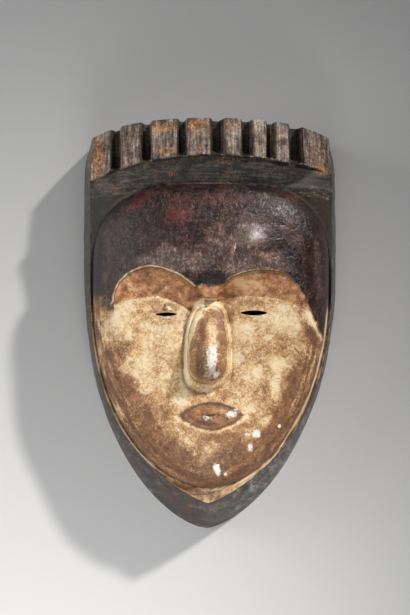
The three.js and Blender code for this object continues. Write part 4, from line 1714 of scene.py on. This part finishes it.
        # Painted shade under the brows and above the creases
        shade_and_grime = line["brow"].at(at.brow) * at.temples * at.off_nose
        shade_and_grime += line["crease"].at(at.crease) * at.temples * at.off_nose
        # Painted shadow beside the nose and round its core, darker on the left
        shade_and_grime += (0.5 * (at.x < -4) + 0.12) * line["nose"].at(at.nose_share) * (at.y < 12)
        shade_and_grime += line["core"].at(at.core_away) * (0.4 + 0.6 * (at.x < -3))
        # Painted shade inside the mouth's outline and in the groove round the face
        shade_and_grime += line["mouth"].at(at.mouth_share)
        shade_and_grime += line["border"].at(at.border) * at.front * (0.55 + 0.45 * at.streaks)
        # Darker marks where the walls are gouged
        gouges = WALL_GOUGES.at(at.angle * WALL_REACH, at.points[:, 2])
        shade_and_grime += self.wall_gouge_darkening * at.wall * fade(gouges, GOUGED) * at.lower
        # Painted shade in the notches' floors and under the blocks' feet
        return shade_and_grime + self.notch_shade * at.notches + line["foot"].at(at.y - at.foot) * at.front * (at.depth < 0.1)

    def _umber(self, at: Places, right_wall: Array) -> Array:
        """Warm umber on the frame beside the face and on the walls, but for the right one.

        Args:
            at: Where the points lie.
            right_wall: 1 on the right.

        Returns:
            One value for each point.
        """
        below_band = fade(self.mask.crest.band_foot(at.x) - at.y, BAND_FOOT)
        strength = self.frame_umber[0] + self.frame_umber[1] * (at.x > 0)
        on_frame = strength * at.front * (1.0 - at.on_face) * below_band
        return np.maximum(on_frame, self.wall_umber * at.wall * (1.0 - right_wall * at.lower))


Tone = tuple[float, float, float, float]
Run = tuple[tuple[float, Tone], ...]
Weights = tuple[tuple[str, float], ...]


def tone(red: float, green: float, blue: float) -> Tone:
    """Turn a screen colour from 0 to 255 into a shader colour."""
    linear = [((c / 255.0 + 0.055) / 1.055) ** 2.4 if c > 10.3 else c / 255.0 / 12.92 for c in (red, green, blue)]
    return (linear[0], linear[1], linear[2], 1.0)


@dataclass(frozen=True)
class Lumps:
    """The settings of a shader noise.

    Args:
        size: Size of its largest lumps in mm.
        stretch: How many times finer it is along each axis.
        detail: Layers of finer noise.
        rough: Strength of the finer layers.
        warp: Distortion.
    """

    size: float
    stretch: tuple[float, float, float] = (1.0, 1.0, 1.0)
    detail: float = 4.0
    rough: float = 0.6
    warp: float = 0.0


@dataclass(frozen=True)
class TornEdge:
    """How a coat's edge is broken up.

    Args:
        raggedness: How far it strays.
        softness: How softly it ends.
        scale: Which of the scales it strays at.
    """

    raggedness: float
    softness: float
    scale: str = "fine"


@dataclass(frozen=True)
class Tint:
    """The colours of one coat.

    Args:
        tones: Its run of tones, from dark to pale.
        weights: The noises that move it along the run, each with its weight.
        middle: Where on the run it lies on average.
    """

    tones: Run
    weights: Weights
    middle: float = 0.5


SCALES: dict[str, tuple[float, float, float]] = {"fine": (2.4, 2.4, 2.4), "upright": (3.6, 1.2, 3.6)}
NOISES: dict[str, Lumps] = {
    "mottle": Lumps(15.0, detail=6.0, rough=0.58, warp=0.9),
    "fine": Lumps(3.6, rough=0.7, warp=1.2),
    "speck": Lumps(2.2, detail=3.0, rough=0.75, warp=1.6),
    "strokes": Lumps(3.6, (1.5, 1.0, 1.0), 5.0, 0.74, 0.7),
    "chips": Lumps(9.0, detail=6.0, rough=0.62, warp=0.9),
    "gouged": Lumps(10.0, (1.7, 1.7, 0.4), 4.0, 0.62, 0.4),
    "facets": Lumps(8.0, detail=2.0, warp=0.8),
}
GRAIN_STREAKS = Lumps(30.0, (16.0, 1.0, 8.0), 5.0, 0.65, 0.3)
BLADE_MARKS = Lumps(26.0, (1.0, 12.0, 5.0), 4.0, 0.6, 0.4)
TORN_EDGE = Lumps(5.0, detail=6.0, rough=0.68)
TORN_EDGES: dict[Coat, TornEdge] = {
    Coat.SOCKET: TornEdge(0.5, 0.3),
    Coat.RED: TornEdge(1.6, 0.4),
    Coat.DARK: TornEdge(1.1, 0.34),
    Coat.BLACK: TornEdge(0.4, 0.16),
    Coat.BLOCK: TornEdge(0.5, 0.14),
    Coat.OCHRE: TornEdge(2.4, 0.26, "upright"),
    Coat.GRIME: TornEdge(0.7, 0.34),
    Coat.FLECK: TornEdge(1.8, 0.26),
    Coat.RAW: TornEdge(0.2, 0.2, "plain"),
}


class Shading:
    """Short names for adding and joining shader nodes in one tree."""

    def __init__(self, tree: Tree) -> None:
        """Work in one node tree."""
        self.tree = tree

    def add(self, kind: str, **settings: object) -> bpy.types.Node:
        """Add a node and set its properties.

        Args:
            kind: The node's type, with or without its prefix.
            settings: Its properties.

        Returns:
            The node.
        """
        node = self.tree.nodes.new(kind if kind.startswith("Node") else "ShaderNode" + kind)
        for key, value in settings.items():
            setattr(node, key, value)
        return node

    def feed(self, socket: Socket, value: object) -> None:
        """Link a socket, or set its value.

        Args:
            socket: The input.
            value: Another node's output, or a constant.
        """
        if isinstance(value, Socket):
            self.tree.links.new(value, socket)
        else:
            socket.default_value = value

    def attribute(self, name: str) -> Socket:
        """Read a mask from the mesh."""
        return self.add("Attribute", attribute_name=name).outputs["Fac"]

    def maths(self, operation: str, first: object, second: object, hold: bool = False) -> Socket:
        """Combine two values.

        Args:
            operation: The operation's name.
            first: First value.
            second: Second value.
            hold: Whether the result is held between 0 and 1.

        Returns:
            The result.
        """
        node = self.add("Math", operation=operation, use_clamp=hold)
        self.feed(node.inputs[0], first)
        self.feed(node.inputs[1], second)
        return node.outputs[0]

    def blend(self, low: object, high: object, share: object) -> Socket:
        """Blend two colours.

        Args:
            low: Colour at share 0.
            high: Colour at share 1.
            share: How much of the second.

        Returns:
            The colour.
        """
        node = self.add("Mix", data_type="RGBA")
        self.feed(node.inputs["Factor"], share)
        self.feed(node.inputs[6], low)
        self.feed(node.inputs[7], high)
        return node.outputs[2]

    def value(self, low: object, high: object, share: object) -> Socket:
        """Blend two values.

        Args:
            low: Value at share 0.
            high: Value at share 1.
            share: How much of the second.

        Returns:
            The value.
        """
        node = self.add("Mix", data_type="FLOAT")
        self.feed(node.inputs["Factor"], share)
        self.feed(node.inputs[2], low)
        self.feed(node.inputs[3], high)
        return node.outputs[0]

    def times(self, first: object, second: object) -> Socket:
        """Multiply two values."""
        return self.maths("MULTIPLY", first, second)

    def plus(self, first: object, second: object, hold: bool = False) -> Socket:
        """Add two values."""
        return self.maths("ADD", first, second, hold)

    def scaled(self, where: Socket, scale: Sequence[float]) -> Socket:
        """Make coordinates finer along each axis.

        Args:
            where: The coordinates.
            scale: How many times finer, along each axis.

        Returns:
            The new coordinates.
        """
        node = self.add("Mapping")
        self.feed(node.inputs["Vector"], where)
        node.inputs["Scale"].default_value = scale
        return node.outputs[0]

    def group(self, tree: Tree, **values: object) -> bpy.types.Node:
        """Add a node group and feed its inputs.

        Args:
            tree: The group.
            values: What its inputs get, by name.

        Returns:
            The group's node.
        """
        node = self.add("Group", node_tree=tree)
        for key, value in values.items():
            self.feed(node.inputs[key], value)
        return node

    def noise(self, where: Socket, lumps: Lumps) -> Socket:
        """Add noise, about 0.5 on average.

        Args:
            where: The coordinates.
            lumps: Size and character of the noise.

        Returns:
            The noise.
        """
        node = self.add("TexNoise")
        self.feed(node.inputs["Vector"], self.scaled(where, [1.0 / (lumps.size * MM) * s for s in lumps.stretch]))
        node.inputs["Scale"].default_value = 1.0
        node.inputs["Detail"].default_value = lumps.detail
        node.inputs["Roughness"].default_value = lumps.rough
        node.inputs["Distortion"].default_value = lumps.warp
        return node.outputs["Fac"]

    def ramp(self, value: object, stops: Run) -> Socket:
        """Turn a value into a run of colours.

        Args:
            value: The value.
            stops: Places on the run and their colours.

        Returns:
            The colour.
        """
        node = self.add("ValToRGB")
        self.feed(node.inputs[0], value)
        band = node.color_ramp
        for at, _ in stops[2:]:
            band.elements.new(at)
        for element, (at, colour) in zip(band.elements, stops):
            element.position = at
            element.color = colour
        return node.outputs["Color"]

    def summed(self, *terms: tuple[object, object]) -> Socket:
        """Add up values, each times its weight.

        Args:
            terms: The values with their weights.

        Returns:
            The sum.
        """
        total = self.times(*terms[0])
        for value, weight in terms[1:]:
            total = self.plus(total, self.times(value, weight))
        return total

    def range(self, value: object, low: float, high: float, to_low: float = 0.0, to_high: float = 1.0) -> Socket:
        """Ease a value from one range to another.

        Args:
            value: The value.
            low: Where it begins.
            high: Where it ends.
            to_low: Result at the beginning.
            to_high: Result at the end.

        Returns:
            The eased value.
        """
        node = self.add("MapRange", interpolation_type="SMOOTHSTEP")
        self.feed(node.inputs["Value"], value)
        for slot, number in zip(("From Min", "From Max", "To Min", "To Max"), (low, high, to_low, to_high)):
            node.inputs[slot].default_value = number
        return node.outputs["Result"]


class PaintShading(Shading):
    """The masks, noises and torn edges that the coats of one material share."""

    def __init__(self, tree: Tree, cover_group: Tree, grain_group: Tree) -> None:
        """Add the shared nodes.

        Args:
            tree: The material's node tree.
            cover_group: The group that breaks up a coat's edge.
            grain_group: The group of wood grain.
        """
        super().__init__(tree)
        where = self.add("TexCoord").outputs["Object"]
        places = {"plain": where} | {key: self.scaled(where, scale) for key, scale in SCALES.items()}
        grain = self.group(grain_group, Vector=where)
        self.masks = {coat: self.attribute(coat.value) for coat in Coat}
        self.wall = self.attribute("wall")
        self.noises = {key: self.noise(where, lumps) for key, lumps in NOISES.items()}
        self.noises |= {"streaks": grain.outputs["Streaks"], "blade": grain.outputs["Blade"]}
        self.covers = {}
        for coat, torn in TORN_EDGES.items():
            node = self.group(cover_group, Vector=places[torn.scale], Mask=self.masks[coat],
                              Raggedness=torn.raggedness, Softness=torn.softness)
            self.covers[coat] = node.outputs["Cover"]

    def stirred(self, weights: Weights) -> Socket:
        """Add up noises round their middle, each by its own weight."""
        return self.summed(*((self.maths("SUBTRACT", self.noises[key], 0.5), weight) for key, weight in weights))

    def level(self, tint: Tint, middle: Socket | None = None) -> Socket:
        """Where on its run of tones a coat lies, about a middle of its own or a given one."""
        return self.plus(tint.middle if middle is None else middle, self.stirred(tint.weights))

    def toned(self, tint: Tint, middle: Socket | None = None) -> Socket:
        """A coat's colour, about a middle of its own or a given one."""
        return self.ramp(self.level(tint, middle), tint.tones)


def new_group(name: str, inputs: dict[str, float | None], outputs: tuple[str, ...]) -> tuple[Tree, Shading]:
    """Start a shader node group with named sockets.

    Args:
        name: The group's name.
        inputs: Input names, with a starting value, or None for coordinates.
        outputs: Output names, all plain values.

    Returns:
        The group and its shading helper.
    """
    group = bpy.data.node_groups.new(name, "ShaderNodeTree")
    for key, start in inputs.items():
        kind = "NodeSocketVector" if start is None else "NodeSocketFloat"
        socket = group.interface.new_socket(name=key, in_out="INPUT", socket_type=kind)
        if start is not None:
            socket.default_value = start
    for key in outputs:
        group.interface.new_socket(name=key, in_out="OUTPUT", socket_type="NodeSocketFloat")
    return group, Shading(group)


def ragged_cover_group() -> Tree:
    """Make the group that turns a soft mask into a coat with a broken, flaking edge.

    Returns:
        The group.
    """
    inputs = {"Vector": None, "Mask": 0.0, "Raggedness": 0.5, "Softness": 0.15}
    group, nodes = new_group("ragged_cover", inputs, ("Cover",))
    given = nodes.add("NodeGroupInput")
    result = nodes.add("NodeGroupOutput")
    torn = nodes.noise(given.outputs["Vector"], TORN_EDGE)
    strayed = nodes.times(nodes.maths("SUBTRACT", torn, 0.5), given.outputs["Raggedness"])
    level = nodes.plus(given.outputs["Mask"], strayed)
    low = nodes.maths("SUBTRACT", 0.5, given.outputs["Softness"])
    span = nodes.times(given.outputs["Softness"], 2.0)
    cover = nodes.maths("DIVIDE", nodes.maths("SUBTRACT", level, low), span, hold=True)
    nodes.feed(result.inputs["Cover"], cover)
    return group


def wood_grain_group() -> Tree:
    """Make the group of wood grain: streaks along the block and cross marks of the blade.

    Returns:
        The group.
    """
    group, nodes = new_group("wood_grain", {"Vector": None}, ("Streaks", "Blade"))
    given = nodes.add("NodeGroupInput")
    result = nodes.add("NodeGroupOutput")
    where = given.outputs["Vector"]
    nodes.feed(result.inputs["Streaks"], nodes.noise(where, GRAIN_STREAKS))
    nodes.feed(result.inputs["Blade"], nodes.noise(where, BLADE_MARKS))
    return group


@dataclass(frozen=True)
class WeatheredPaint:
    """Clay, dark varnish and blackened wood, and the bare wood where they have worn; raw wood in the hollow; with
    painted shade, sheen and highlights over them.
    """

    clay: Tint = Tint((
        (0.08, tone(90, 62, 46)), (0.24, tone(138, 98, 66)), (0.38, tone(177, 133, 89)),
        (0.50, tone(200, 160, 113)), (0.62, tone(218, 185, 138)), (0.76, tone(234, 209, 163)),
        (0.92, tone(247, 234, 204))), (("mottle", 0.6), ("fine", 1.0), ("speck", 0.75)))
    socket: Tint = Tint((
        (0.24, tone(112, 66, 42)), (0.46, tone(174, 112, 70)), (0.62, tone(210, 150, 98)),
        (0.84, tone(236, 192, 142))), (("mottle", 1.6), ("fine", 0.9), ("speck", 0.3)), 0.53)
    varnish: Tint = Tint((
        (0.22, tone(18, 10, 9)), (0.44, tone(42, 23, 19)), (0.60, tone(68, 42, 34)),
        (0.80, tone(116, 86, 74))), (("mottle", 1.3), ("fine", 0.6), ("speck", 0.7), ("strokes", 0.6)))
    black: Run = (
        (0.24, tone(17, 16, 15)), (0.46, tone(54, 51, 45)), (0.62, tone(92, 87, 78)),
        (0.82, tone(158, 150, 136)))
    lip: Tint = Tint((
        (0.14, tone(60, 44, 34)), (0.38, tone(124, 96, 72)), (0.58, tone(192, 156, 118)),
        (0.80, tone(238, 214, 180))), (("fine", 0.6), ("speck", 0.3)))
    block: Tint = Tint((
        (0.22, tone(40, 32, 27)), (0.42, tone(100, 86, 76)), (0.60, tone(156, 139, 124)),
        (0.82, tone(224, 211, 194))), (("streaks", 1.1), ("mottle", 0.7), ("fine", 0.7), ("speck", 0.5)))
    ochre: Tint = Tint((
        (0.30, tone(90, 54, 32)), (0.46, tone(150, 94, 52)), (0.62, tone(204, 140, 84)),
        (0.80, tone(238, 192, 134))), (("mottle", 0.8), ("fine", 1.1), ("speck", 0.5)), 0.54)
    raw: Tint = Tint((
        (0.26, tone(66, 46, 32)), (0.46, tone(112, 84, 60)), (0.62, tone(150, 116, 84)),
        (0.84, tone(184, 150, 112))), (("streaks", 1.0), ("mottle", 0.8), ("fine", 0.4)))
    bare: Tone = tone(138, 98, 66)
    pale: Tone = tone(234, 209, 163)
    palest: Tone = tone(247, 234, 204)
    plum: Tone = tone(128, 84, 62)
    red: Tone = tone(110, 42, 30)
    # Worn grey and painted sheen
    grey_and_sheen: Tone = tone(166, 144, 134)
    rust: Tone = tone(112, 72, 52)
    umber: Tone = tone(58, 44, 29)
    # Colour of painted shade, cracks and grime
    shade_and_grime: Tone = tone(36, 26, 20)
    # Colour of white flakes and painted highlights
    fleck_and_glint: Tone = tone(250, 242, 230)
    tooled: Weights = (("blade", 0.8), ("mottle", 0.4), ("fine", 0.6), ("speck", 0.6))
    sawn: Weights = (("gouged", 1.9), ("mottle", 0.9), ("fine", 0.7), ("speck", 0.6))
    # Varnish and block middles without and with the grey mask, which paints worn grey, pale blocks and sheen
    greyed_varnish: Pair = (0.42, 0.6)
    greyed_block: Pair = (0.43, 0.56)
    # Black's middle on the front, on the walls, and where the right wall's painted sheen lies
    black_middles: tuple[float, float, float] = (0.47, 0.43, 0.66)
    scuffed: Pair = (0.5, 0.66)
    clay_rough: Pair = (0.55, 0.45)
    varnish_rough: Pair = (0.38, 0.26)
    black_rough: Pair = (0.62, 0.4)
    block_rough: float = 0.75
    raw_rough: float = 0.85
    fleck_rough: float = 0.2
    fine_rough: float = 0.3
    bump_strength: float = 0.6
    bump_height: float = 0.5

    def material(self, cover_group: Tree, grain_group: Tree) -> bpy.types.Material:
        """Build the material.

        Args:
            cover_group: The group that breaks up a coat's edge.
            grain_group: The group of wood grain.

        Returns:
            The finished material.
        """
        material = bpy.data.materials.new("weathered_paint")
        material.use_nodes = True
        nodes = PaintShading(material.node_tree, cover_group, grain_group)
        shader = material.node_tree.nodes["Principled BSDF"]
        level = nodes.level(self.clay, nodes.masks[Coat.CLAY])
        clay_cover = nodes.range(level, 0.5, 0.74)
        scuffs = nodes.range(nodes.noises["strokes"], *self.scuffed)
        nodes.feed(shader.inputs["Base Color"], self._colour(nodes, level, scuffs))
        nodes.feed(shader.inputs["Roughness"], self._roughness(nodes, clay_cover))
        gloss = nodes.range(nodes.masks[Coat.GREY], 0.45, 1.0, 0.0, 0.6)
        nodes.feed(shader.inputs["Coat Weight"], nodes.times(nodes.covers[Coat.DARK], gloss))
        shader.inputs["Coat Roughness"].default_value = 0.3
        bump = nodes.add("Bump")
        bump.inputs["Strength"].default_value = self.bump_strength
        bump.inputs["Distance"].default_value = self.bump_height * MM
        nodes.feed(bump.inputs["Height"], self._height(nodes, clay_cover, scuffs))
        nodes.feed(shader.inputs["Normal"], bump.outputs["Normal"])
        return material

    def _colour(self, nodes: PaintShading, level: Socket, scuffs: Socket) -> Socket:
        """Lay the coats over one another.

        Args:
            nodes: The material's shared nodes.
            level: How thick the clay lies.
            scuffs: The scuffs in the varnish.

        Returns:
            The colour.
        """
        masks, covers = nodes.masks, nodes.covers
        colour = self._clay(nodes, level)
        colour = nodes.blend(colour, nodes.toned(self.socket), nodes.times(covers[Coat.SOCKET], 0.85))
        colour = nodes.blend(colour, self._varnish(nodes, scuffs), covers[Coat.DARK])
        colour = nodes.blend(colour, self._black(nodes), covers[Coat.BLACK])
        edge_cover = nodes.range(masks[Coat.EDGE], 0.08, 0.3)
        colour = nodes.blend(colour, nodes.toned(self.lip, masks[Coat.EDGE]), edge_cover)
        block_middle = nodes.value(*self.greyed_block, masks[Coat.GREY])
        colour = nodes.blend(colour, nodes.toned(self.block, block_middle), covers[Coat.BLOCK])
        ochre_cover = nodes.times(covers[Coat.OCHRE], nodes.range(masks[Coat.OCHRE], 0.04, 0.3, 0.0, 0.75))
        colour = nodes.blend(colour, nodes.toned(self.ochre), ochre_cover)
        # Painted shade, cracks and grime
        colour = nodes.blend(colour, self.shade_and_grime, nodes.times(covers[Coat.GRIME], 0.8))
        # White flakes and painted highlights
        colour = nodes.blend(colour, self.fleck_and_glint, covers[Coat.FLECK])
        return nodes.blend(colour, nodes.toned(self.raw), covers[Coat.RAW])

    def _clay(self, nodes: PaintShading, level: Socket) -> Socket:
        """Clay with pale flakes, chips down to the wood, and brown stains.

        Args:
            nodes: The material's nodes.
            level: How thick the clay is.

        Returns:
            The colour.
        """
        colour = nodes.ramp(level, self.clay.tones)
        flakes = nodes.range(nodes.plus(level, nodes.stirred((("speck", 1.4),))), 0.56, 0.62)
        colour = nodes.blend(colour, self.pale, nodes.times(flakes, 0.5))
        chips = nodes.plus(nodes.masks[Coat.CLAY], nodes.stirred((("chips", 2.2),)))
        colour = nodes.blend(colour, self.palest, nodes.times(nodes.range(chips, 0.64, 0.7), 0.4))
        colour = nodes.blend(colour, self.bare, nodes.range(chips, 0.28, 0.34, 0.32, 0.0))
        stains = nodes.plus(nodes.masks[Coat.BROWN], nodes.stirred((("mottle", 1.0), ("fine", 0.6))))
        return nodes.blend(colour, self.plum, nodes.times(nodes.range(stains, 0.3, 0.7), 0.22))

    def _varnish(self, nodes: PaintShading, scuffs: Socket) -> Socket:
        """Dark varnish, reddened in places, worn grey, and lifted by painted sheen and a painted highlight.

        Args:
            nodes: The material's nodes.
            scuffs: Where the varnish is scuffed.

        Returns:
            The colour.
        """
        masks = nodes.masks
        varnish = nodes.toned(self.varnish, nodes.value(*self.greyed_varnish, masks[Coat.GREY]))
        varnish = nodes.blend(varnish, self.red, nodes.times(nodes.covers[Coat.RED], 0.55))
        # Worn grey scuffs, and an even painted sheen where the mask is high
        worn = nodes.times(nodes.value(0.2, 1.0, scuffs), nodes.range(masks[Coat.GREY], 0.1, 0.9))
        return nodes.blend(varnish, self.grey_and_sheen, nodes.times(worn, 0.72))

    def _black(self, nodes: PaintShading) -> Socket:
        """Blackened wood, tooled in front and sawn on the walls, with rust, umber and red in it, and painted sheen on
        the right wall by the chin.

        Args:
            nodes: The material's nodes.

        Returns:
            The colour.
        """
        on_front, on_walls, greyed = self.black_middles
        middle = nodes.value(nodes.value(on_front, on_walls, nodes.wall), greyed, nodes.masks[Coat.GREY])
        marks = nodes.value(nodes.stirred(self.tooled), nodes.stirred(self.sawn), nodes.wall)
        black = nodes.ramp(nodes.plus(middle, marks), self.black)
        rust = nodes.range(nodes.stirred((("mottle", 1.0), ("fine", 0.5))), 0.02, 0.18)
        black = nodes.blend(black, self.rust, nodes.times(rust, nodes.value(0.32, 0.7, nodes.wall)))
        black = nodes.blend(black, self.umber, nodes.masks[Coat.UMBER])
        return nodes.blend(black, self.red, nodes.times(nodes.covers[Coat.RED], 0.36))

    def _roughness(self, nodes: PaintShading, clay_cover: Socket) -> Socket:
        """Roughness of the coats, in the order in which they lie.

        Args:
            nodes: The material's nodes.
            clay_cover: Where the clay lies.

        Returns:
            The roughness.
        """
        covers = nodes.covers
        rough = nodes.value(*self.clay_rough, clay_cover)
        rough = nodes.value(rough, nodes.value(*self.varnish_rough, nodes.masks[Coat.GREY]), covers[Coat.DARK])
        rough = nodes.value(rough, nodes.value(*self.black_rough, nodes.wall), covers[Coat.BLACK])
        rough = nodes.value(rough, self.block_rough, covers[Coat.BLOCK])
        rough = nodes.value(rough, self.raw_rough, covers[Coat.RAW])
        rough = nodes.value(rough, self.fleck_rough, covers[Coat.FLECK])
        return nodes.plus(rough, nodes.stirred((("fine", self.fine_rough),)), hold=True)

    def _height(self, nodes: PaintShading, clay_cover: Socket, scuffs: Socket) -> Socket:
        """Fine relief: grain and blade marks in the wood, and the coats' own thickness.

        Args:
            nodes: The material's nodes.
            clay_cover: Where the clay lies.
            scuffs: Where the varnish is scuffed.

        Returns:
            The height.
        """
        covers, noises = nodes.covers, nodes.noises
        return nodes.summed(
            (noises["fine"], 0.8),
            (clay_cover, 0.25),
            (scuffs, nodes.times(covers[Coat.DARK], 0.35)),
            (nodes.times(noises["facets"], 2.8), covers[Coat.DARK]),
            (noises["gouged"], nodes.times(nodes.wall, 4.0)),
            (noises["streaks"], nodes.maths("MAXIMUM", covers[Coat.BLOCK], covers[Coat.RAW])),
            (noises["blade"], nodes.times(covers[Coat.BLACK], 0.5)),
            (covers[Coat.FLECK], 0.5),
        )


@dataclass
class Studio:
    """A plain pale floor, soft lamps, and the camera over the mask."""

    camera_at: Place = (-27.535, -120.918, 1343.867)
    pitch: float = 6.0
    yaw: float = 1.0
    lens: float = 91.68
    sensor: float = 36.0
    floor_reach: float = 3000.0
    floor_drop: float = 0.2
    floor_tone: Tone = (0.52, 0.52, 0.525, 1.0)
    floor_rough: float = 0.9
    sky: float = 0.079

    def build(self) -> None:
        """Lay the floor, hang the lamps and set the camera."""
        self._floor()
        self._lamps()
        self._camera()

    def _floor(self) -> None:
        """Lay the floor under the rim."""
        deselect_all()
        at = (0, 0, -self.floor_drop * MM)
        bpy.ops.mesh.primitive_plane_add(size=2.0 * self.floor_reach * MM, location=at)
        floor = bpy.context.active_object
        floor.name = "floor"
        bpy.ops.object.transform_apply(location=True)
        material = bpy.data.materials.new("pale_paper")
        material.use_nodes = True
        shader = material.node_tree.nodes["Principled BSDF"]
        shader.inputs["Base Color"].default_value = self.floor_tone
        shader.inputs["Roughness"].default_value = self.floor_rough
        floor.data.materials.append(material)

    def _hang(self, name: str, kind: str, at: Place, aim: Place, watts: float, **settings: object) -> None:
        """Hang one lamp.

        Args:
            name: The lamp's name.
            kind: Blender's kind of lamp.
            at: Its place in mm.
            aim: The point that it faces in mm.
            watts: Its power.
            settings: The lamp's other properties.
        """
        data = bpy.data.lights.new(name, kind)
        data.energy = watts
        for key, value in settings.items():
            setattr(data, key, value)
        lamp = bpy.data.objects.new(name, data)
        bpy.context.collection.objects.link(lamp)
        lamp.location = Vector(at) * MM
        lamp.rotation_euler = (Vector(aim) - Vector(at)).to_track_quat("-Z", "Y").to_euler()

    def _lamps(self) -> None:
        """Hang the key spot at the upper right, a fill low beyond the chin, and two soft lamps at the left."""
        self._hang("key", "SPOT", (3441, 3493, 3441), (-326, -410, 0), 1800.0, color=(1.0, 0.985, 0.96),
                   spot_size=0.18, spot_blend=1.0, shadow_soft_size=0.22)
        self._hang("fill", "AREA", (-20, -560, 620), (-594, -819, 0), 6.6, color=(1.0, 0.99, 0.98), size=0.5)
        self._hang("side", "AREA", (-1250, 220, 640), (0, 0, 40), 7.5, color=(1.0, 0.99, 0.97), size=0.9)
        self._hang("top", "AREA", (-650, 450, 1300), (0, 0, 0), 2.5, color=(0.98, 0.99, 1.0), size=1.4)
        world = bpy.data.worlds.new("studio")
        world.use_nodes = True
        background = world.node_tree.nodes["Background"]
        background.inputs["Color"].default_value = (1.0, 1.0, 1.0, 1.0)
        background.inputs["Strength"].default_value = self.sky
        bpy.context.scene.world = world

    def _camera(self) -> None:
        """Set the camera over the mask, as the photograph was taken."""
        pitch, yaw = math.radians(self.pitch), math.radians(self.yaw)
        back = Vector((-math.sin(yaw) * math.cos(pitch), -math.sin(pitch), math.cos(yaw) * math.cos(pitch)))
        right = Vector((0.0, 1.0, 0.0)).cross(back).normalized()
        up = back.cross(right)
        data = bpy.data.cameras.new("camera")
        data.sensor_fit = "VERTICAL"
        data.sensor_height = self.sensor
        data.lens = self.lens
        data.clip_start = 0.01
        camera = bpy.data.objects.new("camera", data)
        bpy.context.collection.objects.link(camera)
        turn = Matrix((right, up, back)).transposed().to_4x4()
        camera.matrix_world = Matrix.Translation(Vector(self.camera_at) * MM) @ turn
        bpy.context.scene.camera = camera
        bpy.context.scene.view_settings.view_transform = "Standard"


def main() -> None:
    """Build the mask and the studio."""
    logging.basicConfig(level=logging.INFO, format="%(name)s: %(message)s")
    mask = CarvedMask()
    piece = mask.build()
    Painter(mask).dress(piece)
    piece.data.materials.clear()
    piece.data.materials.append(WeatheredPaint().material(ragged_cover_group(), wood_grain_group()))
    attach(piece, "root")
    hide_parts("carved_mask")
    only(piece)
    bpy.ops.object.shade_smooth_by_angle(angle=math.radians(SHARP_ANGLE))
    LOG.info("%s: %d faces", piece.name, len(piece.data.polygons))
    Studio().build()


if __name__ == "__main__":
    main()
